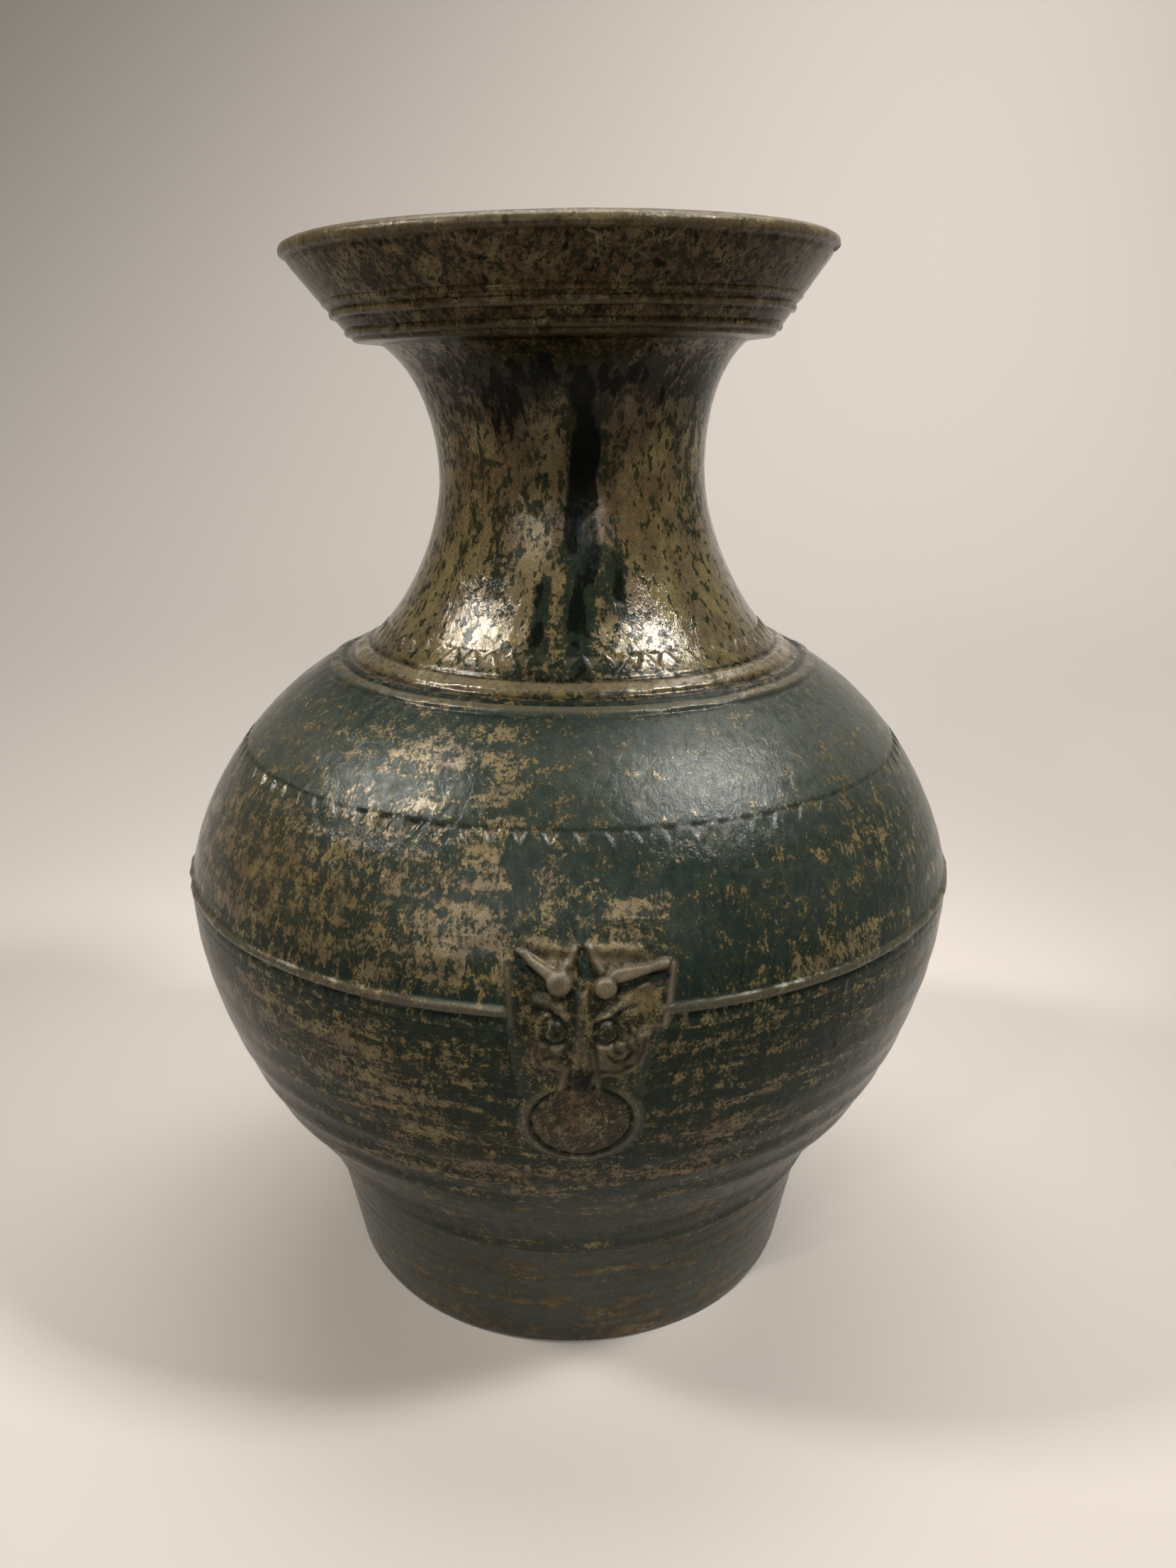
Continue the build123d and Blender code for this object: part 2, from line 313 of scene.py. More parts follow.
def maths(tree, operation, *values):
    node = tree.nodes.new("ShaderNodeMath")
    node.operation = operation
    for value, socket in zip(values, node.inputs):
        link(tree, value, socket)
    return node.outputs[0]


def times(tree, first, second):
    return maths(tree, "MULTIPLY", first, second)


def plus(tree, first, second):
    return maths(tree, "ADD", first, second)


def minus(tree, first, second):
    return maths(tree, "SUBTRACT", first, second)


def timesPlus(tree, first, second, third):
    return maths(tree, "MULTIPLY_ADD", first, second, third)


def ramp(tree, value, low, high, toLow=0.0, toHigh=1.0):
    node = tree.nodes.new("ShaderNodeMapRange")
    node.interpolation_type = "SMOOTHSTEP"
    for given, socket in zip((value, low, high, toLow, toHigh), node.inputs):
        link(tree, given, socket)
    return node.outputs[0]


def noise(tree, vector, scale, detail=2.0, roughness=0.5, distortion=0.0):
    node = tree.nodes.new("ShaderNodeTexNoise")
    for name, value in (("Vector", vector), ("Scale", scale), ("Detail", detail),
                        ("Roughness", roughness), ("Distortion", distortion)):
        link(tree, value, node.inputs[name])
    return node.outputs["Fac"]


def vectorMaths(tree, operation, first, second):
    node = tree.nodes.new("ShaderNodeVectorMath")
    node.operation = operation
    link(tree, first, node.inputs[0])
    link(tree, second, node.inputs[1])
    return node.outputs[0]


def combine(tree, *values):
    node = tree.nodes.new("ShaderNodeCombineXYZ")
    for value, socket in zip(values, node.inputs):
        link(tree, value, socket)
    return node.outputs[0]


def blend(tree, factor, first, second):
    node = tree.nodes.new("ShaderNodeMix")
    node.data_type = "RGBA"
    for value, socket in zip((factor, first, second), (node.inputs[0], node.inputs[6], node.inputs[7])):
        link(tree, (*value, 1) if isinstance(value, tuple) else value, socket)
    return node.outputs[2]


# throwing: a geometry node tree that turns a closed profile and works its surface

throwInputs = {
    "Profile": ("Object", None),
    "Segments": ("Int", 512),
    "Wobble": ("Float", 0.0),
    "Rib Height": ("Float", 0.0),
    "Rib Pitch": ("Float", 0.012),
    "Rib Top": ("Float", 1.0),
    "Stamp Count": ("Int", 60),
    "Stamp Top": ("Float", 0.0),
    "Stamp Drop": ("Float", 0.005),
    "Stamp Width": ("Float", 0.9),
    "Stamp Depth": ("Float", 0.0),
    "Stamp Wear": ("Float", 0.0),
    "Line Width": ("Float", 0.0006),
    "Mask Gap": ("Float", 0.0),
    "Seed": ("Int", 0),
    "Glaze": ("Material", None),
}
throwScales = {     # noise per metre
    "fade": 7.0,
    "lumps": 9.0,
    "drift": 14.0,
    "weak": 24.0,
    "sag": 25.0,
    "jitter": 40.0,
    "small": 70.0,
    "uneven": 75.0,
}
turnRadius = 0.1              # radius of the path circle, taken off the profile again
wornSide = math.radians(-52)  # the right of the front, counted from +X


def throwTree():
    tree = bpy.data.node_groups.new("throwOnWheel", "GeometryNodeTree")
    for name, (kind, start) in throwInputs.items():
        socket = tree.interface.new_socket(name=name, in_out="INPUT", socket_type="NodeSocket" + kind)
        if start is not None:
            socket.default_value = start
    tree.interface.new_socket(name="Mesh", in_out="OUTPUT", socket_type="NodeSocketGeometry")
    given = tree.nodes.new("NodeGroupInput").outputs
    result = tree.nodes.new("NodeGroupOutput")

    info = tree.nodes.new("GeometryNodeObjectInfo")
    link(tree, given["Profile"], info.inputs["Object"])
    toCurve = tree.nodes.new("GeometryNodeMeshToCurve")
    link(tree, info.outputs["Geometry"], toCurve.inputs[0])
    circle = tree.nodes.new("GeometryNodeCurvePrimitiveCircle")
    link(tree, given["Segments"], circle.inputs["Resolution"])
    circle.inputs["Radius"].default_value = turnRadius
    turned = tree.nodes.new("GeometryNodeCurveToMesh")
    link(tree, circle.outputs[0], turned.inputs["Curve"])
    link(tree, toCurve.outputs[0], turned.inputs["Profile Curve"])
    outwards = tree.nodes.new("GeometryNodeFlipFaces")
    link(tree, turned.outputs[0], outwards.inputs["Mesh"])

    def attribute(name):
        node = tree.nodes.new("GeometryNodeInputNamedAttribute")
        node.data_type = "FLOAT"
        node.inputs["Name"].default_value = name
        return node.outputs[0]

    def keepField(mesh, name, values):
        node = tree.nodes.new("GeometryNodeStoreNamedAttribute")
        node.data_type, node.domain = "FLOAT", "POINT"
        node.inputs["Name"].default_value = name
        link(tree, mesh, node.inputs["Geometry"])
        link(tree, values, node.inputs["Value"])
        return node.outputs[0]

    position = tree.nodes.new("GeometryNodeInputPosition").outputs[0]
    parts = tree.nodes.new("ShaderNodeSeparateXYZ")
    link(tree, position, parts.inputs[0])
    x, y, z = parts.outputs
    angle = maths(tree, "ARCTAN2", y, x)
    place = vectorMaths(tree, "ADD", position, times(tree, given["Seed"], 3.71))

    # soft lumps of a hand-thrown wall
    lumps = minus(tree, noise(tree, place, throwScales["lumps"], 1.0), 0.5)
    small = minus(tree, noise(tree, place, throwScales["small"], 2.0), 0.5)
    wobble = times(tree, timesPlus(tree, small, 0.4, lumps), given["Wobble"])

    # finger ribs that wander and fade
    drift = times(tree, noise(tree, place, throwScales["drift"], 2.0), 5.0)
    turnsUp = times(tree, maths(tree, "DIVIDE", z, given["Rib Pitch"]), math.tau)
    wave = maths(tree, "SINE", plus(tree, turnsUp, drift))
    fade = ramp(tree, noise(tree, place, throwScales["fade"], 1.0), 0.3, 0.7, 0.25, 1.0)
    below = ramp(tree, minus(tree, given["Rib Top"], z), -0.01, 0.02, 0.2, 1.0)
    ribs = times(tree, times(tree, wave, fade), times(tree, below, given["Rib Height"]))

    # triangles pressed under a scored line, some deep and some faint
    jitter = times(tree, minus(tree, noise(tree, place, throwScales["jitter"], 1.0), 0.5), 0.7)
    steps = maths(tree, "DIVIDE", times(tree, angle, given["Stamp Count"]), math.tau)
    phase = maths(tree, "FRACT", plus(tree, steps, jitter))
    aside = times(tree, maths(tree, "ABSOLUTE", minus(tree, phase, 0.5)), 2.0)
    sag = times(tree, minus(tree, noise(tree, place, throwScales["sag"], 1.0), 0.5), 0.0012)
    top = plus(tree, given["Stamp Top"], sag)
    fall = maths(tree, "DIVIDE", minus(tree, top, z), given["Stamp Drop"])
    within = times(tree, minus(tree, 1.0, fall), given["Stamp Width"])
    inside = maths(tree, "MINIMUM", minus(tree, within, aside), times(tree, fall, 1.6))
    pressed = ramp(tree, inside, 0.0, 0.26)
    burr = times(tree, ramp(tree, inside, -0.28, -0.02), ramp(tree, inside, 0.10, 0.0))
    weak = ramp(tree, noise(tree, place, throwScales["weak"], 2.0), 0.32, 0.62, 0.12, 1.0)
    facing = maths(tree, "COSINE", minus(tree, angle, wornSide))
    worn = times(tree, ramp(tree, facing, 0.55, 0.95), given["Stamp Wear"])
    weak = times(tree, weak, minus(tree, 1.0, worn))
    scored = ramp(tree, maths(tree, "ABSOLUTE", minus(tree, z, top)), given["Line Width"], 0.0)
    depth = timesPlus(tree, burr, -0.3, timesPlus(tree, scored, 0.55, pressed))
    stamped = times(tree, times(tree, depth, weak), given["Stamp Depth"])

    # beads are uneven, the belly ridge stops at the masks, and the wall is plain under them
    across = maths(tree, "ABSOLUTE", maths(tree, "COSINE", angle))
    clear = ramp(tree, across, times(tree, given["Mask Gap"], 0.92),
                 timesPlus(tree, given["Mask Gap"], 1.12, 0.0001))
    uneven = ramp(tree, noise(tree, place, throwScales["uneven"], 4.0, 0.6), 0.3, 0.7, -0.45, 0.25)
    uneven = times(tree, times(tree, attribute("bead"), uneven), clear)
    stopped = times(tree, attribute("ridge"), minus(tree, clear, 1.0))
    ridge = plus(tree, uneven, stopped)

    worked = minus(tree, times(tree, plus(tree, wobble, ribs), clear), stamped)
    lift = times(tree, plus(tree, worked, ridge), attribute("outer"))
    flat = times(tree, lift, attribute("liftR"))
    offset = combine(tree, times(tree, flat, maths(tree, "COSINE", angle)),
                     times(tree, flat, maths(tree, "SINE", angle)),
                     times(tree, lift, attribute("liftZ")))

    # what the glaze needs to know of the stamps
    onStamp = maths(tree, "GREATER_THAN", given["Stamp Depth"], 0.0)
    kept = keepField(outwards.outputs[0], "stamp", times(tree, times(tree, pressed, weak), onStamp))
    kept = keepField(kept, "score", times(tree, scored, onStamp))
    moveOut = tree.nodes.new("GeometryNodeSetPosition")
    link(tree, kept, moveOut.inputs["Geometry"])
    link(tree, offset, moveOut.inputs["Offset"])
    real = tree.nodes.new("GeometryNodeRealizeInstances")
    link(tree, moveOut.outputs[0], real.inputs[0])
    coat = tree.nodes.new("GeometryNodeSetMaterial")
    link(tree, real.outputs[0], coat.inputs["Geometry"])
    link(tree, given["Glaze"], coat.inputs["Material"])
    link(tree, coat.outputs[0], result.inputs[0])
    return tree


wheel = throwTree()


def setField(mesh, name, values):
    field = mesh.attributes.get(name) or mesh.attributes.new(name, "FLOAT", "POINT")
    field.data.foreach_set("value", np.asarray(values, np.float32))


def getField(mesh, name):
    values = np.empty(len(mesh.vertices), np.float32)
    mesh.attributes[name].data.foreach_get("value", values)
    return values.astype(float)


def getPoints(mesh):
    co = np.empty(len(mesh.vertices) * 3, np.float32)
    mesh.vertices.foreach_get("co", co)
    return co.reshape(-1, 3).astype(float)


def setPoints(mesh, co):
    mesh.vertices.foreach_set("co", co.astype(np.float32).ravel())
    mesh.update()


def throwPiece(name, table, glaze, **settings):
    profile = bpy.data.meshes.new(name + "Profile")
    corners = [(r - turnRadius, -z, 0) for r, z in table[:, :2]]
    profile.from_pydata(corners, [(k, (k + 1) % len(corners)) for k in range(len(corners))], [])
    for column, field in enumerate(profileFields[2:], 2):
        setField(profile, field, table[:, column])
    holder = bpy.data.objects.new(name + "Profile", profile)
    blank = bpy.data.objects.new(name + "Blank", bpy.data.meshes.new(name + "Blank"))
    for each in (holder, blank):
        scene.collection.objects.link(each)
    modifier = blank.modifiers.new("throw", "NODES")
    modifier.node_group = wheel
    keys = {item.name: item.identifier for item in wheel.interface.items_tree if item.in_out == "INPUT"}
    for label, value in {"Profile": holder, "Glaze": glaze, **settings}.items():
        modifier[keys[label]] = value
    bpy.context.view_layer.update()
    evaluated = blank.evaluated_get(bpy.context.evaluated_depsgraph_get())
    mesh = bpy.data.meshes.new_from_object(evaluated)
    mesh.name = name
    blank.modifiers.clear()
    for each in (holder, blank):
        bpy.data.objects.remove(each)
    piece = bpy.data.objects.new(name, mesh)
    scene.collection.objects.link(piece)
    return piece


def wallLoop(name, step, fineLevels, insideStep):
    # closed section of one piece: up the outside, over its upper end, down the inside
    # fineLevels are the stretches with closer rows: level, reach, step
    run = outside[name]
    s = lengthAlong(run)
    spacing = np.full(len(run), step)
    for level, reach, fine in fineLevels:
        near = np.abs(run[:, 1] - level) < reach
        spacing[near] = np.minimum(spacing[near], fine)
    spacing = blurred(spacing, 12)
    count = np.concatenate([[0], np.cumsum(np.diff(s) / spacing[1:])])
    rows = resample(run, np.interp(np.linspace(0, count[-1], round(count[-1]) + 1), count, s))
    rest = evenRun(insideRuns[name], insideStep)
    if name in upperEnds:
        rest = np.concatenate([upperEnds[name]["lip"][None], rest])
    else:
        rest = rest[1:]
    if name in lowerEnds:
        rest = np.concatenate([rest, [lowerEnds[name]["lipAbove"], lowerEnds[name]["lip"]]])
    return np.concatenate([rows, plainLoop(*rest)])


def plainLoop(*points):
    table = np.zeros((len(points), len(profileFields)))
    table[:, :2] = points
    return table


# lean of the thrown neck and tilt of the mouth, as the photograph shows them
leanSizes = {
    "levels": [0.0, 0.200, 0.262, 0.285, 0.330, 0.360, 0.400],
    "shifts": [0.0, 0.0, 0.0014, 0.0017, 0.0006, -0.0014, -0.0038],
    "tilt": math.radians(1.2),
    "tiltFrom": 0.330,
    "tiltTo": 0.375,
    "settle": 0.0003,
}


def leanOver(piece):
    co = getPoints(piece.data)
    levels = np.linspace(0, leanSizes["levels"][-1] + 0.01, 400)
    shifts = blurred(np.interp(levels, leanSizes["levels"], leanSizes["shifts"]), 12)
    weight = smooth(leanSizes["tiltFrom"], leanSizes["tiltTo"], co[:, 2])
    sink = co[:, 0] * math.tan(leanSizes["tilt"]) * weight - weight * leanSizes["settle"]
    co[:, 0] += np.interp(co[:, 2], levels, shifts)
    co[:, 2] += sink
    setPoints(piece.data, co)


def finishPiece(piece, slotName, *nodes, sharp=50):
    mesh = piece.data
    mesh.polygons.foreach_set("use_smooth", [True] * len(mesh.polygons))
    mesh.set_sharp_from_angle(angle=math.radians(sharp))
    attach(piece, "root")
    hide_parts(*nodes)
    print("made", piece.name, sum(len(p.vertices) - 2 for p in mesh.polygons), "triangles")


# where the glaze ran dark, gold, brown or silvery, in places with painted shade, highlight and sheen: degrees
# to the right of the front, and mm
zoneFields = ["gold", "dark", "brown", "slate"]
glazeFields = zoneFields + ["thin", "pool"]
zonePatches = [     # azimuth, level, reach to the sides, reach up and down, what it adds
    # neck: the black run down the front with a branch on either side, brown over it, gold beside it
    (5.0, 335, 6.4, 12, {"gold": -0.85, "dark": 0.95}),
    (1.5, 318, 4.2, 10, {"gold": -0.75, "dark": 0.75}),
    (-1.5, 302, 3.4, 10, {"gold": -0.7, "dark": 0.65}),
    (5.0, 295, 3.8, 9, {"gold": -0.6, "dark": 0.5}),
    (-0.5, 277, 5.2, 14, {"gold": -0.7, "dark": 0.5}),
    (1, 263, 14, 5, {"gold": -0.35, "dark": 0.2}),
    (-12.2, 278, 2.6, 14, {"gold": -0.8, "dark": 0.6}),
    (13.4, 289, 3.4, 12, {"gold": -0.8, "dark": 0.65}),
    (-30, 288, 3.0, 9, {"gold": -0.4, "dark": 0.4}),
    (0, 338, 180, 22, {"brown": 0.3}),
    # darkest band, under the dish: dark glaze, and partly painted shade of the dish
    (0, 356, 75, 11, {"gold": -0.40, "dark": 0.45, "brown": 0.8}),
    (-22, 345, 14, 10, {"dark": 0.3, "brown": 0.5}),
    (58, 344, 14, 12, {"gold": -0.30, "brown": -0.2}),
    (60, 312, 14, 24, {"gold": -0.25}),
    (-42, 314, 24, 30, {"gold": -0.22, "brown": 0.35}),
    (28, 312, 15, 30, {"gold": 0.15, "brown": 0.45}),
    # pale gold low on the flare: gold glaze, and partly a painted highlight
    (52, 272, 24, 13, {"gold": 0.40, "brown": -0.15}),
    (-48, 270, 18, 12, {"gold": 0.2}),
    # shoulder: gold fingers under the ridge, slate to the right, fine runs in the middle
    (-28, 243, 13, 6, {"gold": 0.30}),
    (-18, 241, 8, 7, {"gold": 0.2}),
    (-13, 238, 2.5, 12, {"gold": 0.4}),
    (-22, 233, 2.5, 8, {"gold": 0.35}),
    (-58, 234, 22, 14, {"slate": 0.8, "gold": 0.1}),
    (25, 238, 30, 15, {"gold": -0.1, "slate": 1.0}),
    (62, 232, 20, 16, {"slate": 0.7}),
    (-56, 200, 26, 19, {"gold": 0.36, "brown": 0.5, "slate": 0.3}),
    (-28, 208, 14, 12, {"gold": 0.34}),
    (-18, 206, 7, 10, {"gold": 0.25}),
    (-16, 196, 6, 6, {"gold": 0.42}),
    (-12.3, 217, 2.2, 9, {"gold": 0.3}),
    (-4.2, 209, 1.6, 14, {"gold": 0.35}),
    (-8, 208, 4, 14, {"gold": -0.15}),
    (14, 208, 10, 12, {"gold": -0.12}),
    (6, 201, 5, 6, {"gold": 0.35}),
    (36, 200, 13, 16, {"slate": 0.25}),
    (52, 206, 12, 14, {"gold": 0.10}),
    (40, 182, 9, 4, {"gold": 0.4}),
    (28, 180, 6, 3, {"gold": 0.35}),
    (-42, 186, 18, 8, {"gold": 0.35, "brown": 0.1}),
    (-23, 186, 10, 8, {"gold": 0.40}),
    (-13, 189, 6, 6, {"gold": 0.3}),
    # lower body: brown gold at the left, green at the right, broken bands round the wheel marks
    (-40, 152, 22, 14, {"gold": 0.26, "brown": 0.3}),
    (-26, 142, 12, 14, {"gold": 0.18, "dark": 0.1}),
    (-18, 123, 12, 10, {"gold": 0.25, "brown": 0.4}),
    (-62, 140, 16, 30, {"slate": 0.5}),
    (18, 162, 8, 6, {"gold": 0.22}),
    (33, 152, 14, 12, {"dark": 0.15}),
    (62, 145, 16, 30, {"slate": 0.5}),
    (21, 136, 12, 4, {"gold": 0.25}),
    (18.5, 123.5, 6, 4, {"gold": 0.4, "brown": 0.5}),
    (0, 107, 30, 5, {"gold": 0.35, "brown": 0.3}),
    (-16, 103, 14, 5, {"gold": 0.25}),
    # lighter slate round the waist: silvery glaze, and partly a painted sheen
    (0, 72, 180, 14, {"gold": 0.05, "slate": 1.0, "brown": 0.2}),
    # foot
    (-48, 33, 12, 12, {"gold": -0.2, "brown": -0.3}),
    (-17, 8, 9, 4, {"gold": 0.3}),
    (25, 6, 12, 3, {"gold": 0.2}),
    # the back, as lively as the front
    (150, 241, 22, 9, {"gold": 0.32}),
    (-140, 238, 24, 14, {"slate": 0.9}),
    (180, 206, 16, 12, {"gold": 0.3}),
    (-135, 205, 22, 16, {"gold": 0.35, "brown": 0.4}),
    (120, 200, 20, 18, {"slate": 0.5, "gold": -0.1}),
    (130, 148, 24, 15, {"gold": 0.3}),
    (-160, 140, 20, 16, {"gold": 0.28, "brown": 0.3}),
    (-100, 150, 18, 20, {"gold": -0.1}),
    (165, 300, 5, 34, {"gold": -0.5, "dark": 0.85}),
    (-120, 305, 16, 34, {"gold": 0.2}),
    (110, 310, 16, 30, {"gold": -0.25}),
]


def paintZones(piece, gold, dark, brown, slate, mostGold=1.0):
    mesh = piece.data
    co = getPoints(mesh)
    azimuth = np.degrees(np.arctan2(co[:, 0], -co[:, 1]))
    level = co[:, 2] * 1000
    zones = {name: np.full(len(co), base) for name, base in zip(zoneFields, (gold, dark, brown, slate))}
    for at, height, wide, tall, tones in zonePatches:
        aside = ((azimuth - at + 180) % 360 - 180) / wide
        weight = np.exp(-(aside ** 2 + ((level - height) / tall) ** 2))
        for name, amount in tones.items():
            zones[name] += amount * weight
    zones["gold"] = np.minimum(zones["gold"], mostGold)
    for name in zoneFields:
        setField(mesh, name, np.clip(zones[name], 0, 1))


def wearCrests(piece, crestThin=0.85, groovePool=1.0, stampThin=0.0, stampPool=0.0, scorePool=0.0):
    # thin glaze on crests, pooled glaze in grooves and stamps
    mesh = piece.data
    crest, stamp, score = (getField(mesh, name) for name in ("crest", "stamp", "score"))
    setField(mesh, "thin", np.clip(crest * crestThin + stamp * stampThin, 0, 1))
    setField(mesh, "pool", np.clip(-crest * groovePool + stamp * stampPool + score * scorePool, 0, 1))


# glaze: one shader group that breaks the painted zones into mottles, runs, specks and pits

glazeTones = {
    "gold": (0.128, 0.102, 0.044),
    "taupe": (0.104, 0.083, 0.050),
    "bloom": (0.128, 0.103, 0.078),
    "brown": (0.062, 0.034, 0.010),
    "olive": (0.024, 0.022, 0.009),
    "umber": (0.024, 0.016, 0.006),
    "teal": (0.004, 0.013, 0.011),
    "green": (0.010, 0.022, 0.014),
    "slate": (0.056, 0.063, 0.055),
    "black": (0.002, 0.003, 0.002),
}
glazeScales = {     # noise per metre
    "broad": 30.0,
    "patch": 60.0,
    "fingers": 150.0,
    "rows": 150.0,
    "mottle": 170.0,
    "dash": 300.0,
    "fine": 560.0,
    "grain": 1400.0,
}
glazeSettings = ["gloss", "fall", "dash", "rows", "fineness"]


def glazeGroup():
    tree = bpy.data.node_groups.new("agedGlaze", "ShaderNodeTree")
    for name in glazeFields + glazeSettings:
        tree.interface.new_socket(name=name.capitalize(), in_out="INPUT", socket_type="NodeSocketFloat")
    tree.interface.new_socket(name="Color", in_out="OUTPUT", socket_type="NodeSocketColor")
    for name in ("Roughness", "Metallic", "Coat", "Height"):
        tree.interface.new_socket(name=name, in_out="OUTPUT", socket_type="NodeSocketFloat")
    given = tree.nodes.new("NodeGroupInput").outputs
    result = tree.nodes.new("NodeGroupOutput").inputs
    where = tree.nodes.new("ShaderNodeTexCoord").outputs["Object"]
    where = vectorMaths(tree, "MULTIPLY", where, given["Fineness"])
    run = vectorMaths(tree, "MULTIPLY", where, combine(tree, 1.0, 1.0, given["Fall"]))
    longFall = times(tree, given["Fall"], 0.4)
    longRun = vectorMaths(tree, "MULTIPLY", where, combine(tree, 1.0, 1.0, longFall))
    around = vectorMaths(tree, "MULTIPLY", where, (0.16, 0.16, 1.0))
    shifted = vectorMaths(tree, "ADD", run, (3.1, 1.7, 5.3))

    broad = noise(tree, run, glazeScales["broad"], 3.0, 0.55, 0.3)
    mottle = noise(tree, run, glazeScales["mottle"], 5.0, 0.68, 0.6)
    fingers = noise(tree, longRun, glazeScales["fingers"], 3.0, 0.55, 0.2)
    rows = noise(tree, around, glazeScales["rows"], 3.0, 0.6)
    fine = noise(tree, run, glazeScales["fine"], 5.0, 0.68, 0.3)
    grain = noise(tree, where, glazeScales["grain"], 2.0, 0.6)
    patch = noise(tree, shifted, glazeScales["patch"], 4.0, 0.6, 0.4)

    # gold mottle: where the mixed noise passes the level that the zone sets
    mixed = timesPlus(tree, mottle, 0.34, times(tree, broad, 0.08))
    mixed = timesPlus(tree, fingers, 0.22, mixed)
    mixed = timesPlus(tree, fine, 0.40, mixed)
    inRow = times(tree, minus(tree, rows, 0.5), given["Rows"])
    mixed = plus(tree, mixed, inRow)
    level = timesPlus(tree, given["Gold"], -0.22, 0.63)
    over = minus(tree, mixed, level)
    goldMask = ramp(tree, over, -0.02, 0.03)
    dash = ramp(tree, noise(tree, shifted, glazeScales["dash"], 3.0, 0.55, 0.3), 0.55, 0.61)
    dash = times(tree, dash, given["Dash"])
    goldMask = times(tree, goldMask, minus(tree, 1.0, dash))
    fleck = ramp(tree, noise(tree, run, glazeScales["fine"], 3.0, 0.6), 0.60, 0.68)
    fleck = times(tree, fleck, given["Gold"])
    goldMask = maths(tree, "MAXIMUM", goldMask, times(tree, fleck, 0.8))

    # black runs, cut the same way
    streak = timesPlus(tree, fingers, 0.5, times(tree, mottle, 0.3))
    streak = timesPlus(tree, patch, 0.2, streak)
    darkLevel = timesPlus(tree, given["Dark"], -0.34, 0.68)
    darkMask = ramp(tree, minus(tree, streak, darkLevel), -0.03, 0.05)

    # gold over green, each with its own drift of tone, then black, bare crests and pools, which on the masks
    # also hold painted light and painted shade
    tan = blend(tree, ramp(tree, patch, 0.38, 0.62), glazeTones["gold"], glazeTones["taupe"])
    spots = timesPlus(tree, fine, 0.55, times(tree, patch, 0.45))
    rust = times(tree, ramp(tree, spots, 0.40, 0.58), timesPlus(tree, given["Brown"], 0.85, 0.12))
    tan = blend(tree, rust, tan, glazeTones["brown"])
    shade = ramp(tree, mixed, 0.40, 0.60, 0.62, 1.15)
    tan = vectorMaths(tree, "MULTIPLY", tan, combine(tree, shade, shade, shade))
    sea = blend(tree, ramp(tree, mottle, 0.40, 0.62), glazeTones["teal"], glazeTones["green"])
    sea = blend(tree, times(tree, given["Brown"], 0.75), sea, glazeTones["umber"])
    slateMask = times(tree, given["Slate"], ramp(tree, mottle, 0.30, 0.6, 0.55, 1.0))
    sea = blend(tree, slateMask, sea, glazeTones["slate"])
    halfway = times(tree, ramp(tree, over, -0.07, -0.01), 0.5)
    sea = blend(tree, halfway, sea, glazeTones["olive"])
    colour = blend(tree, goldMask, sea, tan)
    colour = blend(tree, times(tree, darkMask, 0.92), colour, glazeTones["black"])
    worn = ramp(tree, timesPlus(tree, fine, 0.5, times(tree, mottle, 0.5)), 0.40, 0.58, 1.0, 0.2)
    kept = timesPlus(tree, minus(tree, 1.0, worn), given["Thin"], worn)
    thinMask = times(tree, given["Thin"], kept)
    bared = blend(tree, ramp(tree, given["Thin"], 0.45, 0.95), glazeTones["taupe"], glazeTones["bloom"])
    colour = blend(tree, thinMask, colour, bared)
    poolMask = times(tree, given["Pool"], ramp(tree, mottle, 0.35, 0.6, 1.0, 0.6))
    colour = blend(tree, poolMask, colour, glazeTones["black"])
    tint = ramp(tree, grain, 0.25, 0.75, 0.75, 1.25)
    colour = vectorMaths(tree, "MULTIPLY", colour, combine(tree, tint, tint, tint))
    link(tree, colour, result["Color"])

    # finish
    rough = ramp(tree, timesPlus(tree, mottle, 0.5, times(tree, fine, 0.5)), 0.36, 0.64, 0.07, 0.23)
    rough = timesPlus(tree, slateMask, 0.12, rough)
    rough = timesPlus(tree, thinMask, 0.06, rough)
    link(tree, rough, result["Roughness"])
    shine = timesPlus(tree, slateMask, 0.12, timesPlus(tree, goldMask, 0.12, 0.02))
    link(tree, shine, result["Metallic"])
    coat = timesPlus(tree, thinMask, 0.3, timesPlus(tree, goldMask, 0.5, 0.15))
    coat = times(tree, coat, minus(tree, 1.0, maths(tree, "MAXIMUM", darkMask, poolMask)))
    link(tree, times(tree, coat, given["Gloss"]), result["Coat"])
    bumps = timesPlus(tree, fine, 0.5, times(tree, mottle, 1.5))
    bumps = timesPlus(tree, fingers, 0.6, bumps)
    bumps = timesPlus(tree, grain, 0.16, bumps)
    bumps = timesPlus(tree, goldMask, -0.15, bumps)
    link(tree, bumps, result["Height"])
    return tree


agedGlaze = glazeGroup()


def glazeMaterial(name, shine, **settings):
    material = bpy.data.materials.new(name)
    material.use_nodes = True
    tree = material.node_tree
    shader = tree.nodes["Principled BSDF"]
    shader.inputs["Specular IOR Level"].default_value = shine
    shader.inputs["Coat Roughness"].default_value = 0.09
    skin = tree.nodes.new("ShaderNodeGroup")
    skin.node_tree = agedGlaze
    for field in glazeFields:
        painted = tree.nodes.new("ShaderNodeAttribute")
        painted.attribute_name = field
        link(tree, painted.outputs["Fac"], skin.inputs[field.capitalize()])
    for label in glazeSettings:
        skin.inputs[label.capitalize()].default_value = settings[label]
    relief = tree.nodes.new("ShaderNodeBump")
    relief.inputs["Strength"].default_value = 0.3
    relief.inputs["Distance"].default_value = 0.0008
    link(tree, skin.outputs["Height"], relief.inputs["Height"])
    for output, socket in (("Color", "Base Color"), ("Roughness", "Roughness"), ("Metallic", "Metallic"),
                           ("Coat", "Coat Weight")):
        link(tree, skin.outputs[output], shader.inputs[socket])
    for socket in ("Normal", "Coat Normal"):
        link(tree, relief.outputs[0], shader.inputs[socket])
    return material


clayScales = {"cloud": 35.0, "grit": 900.0}


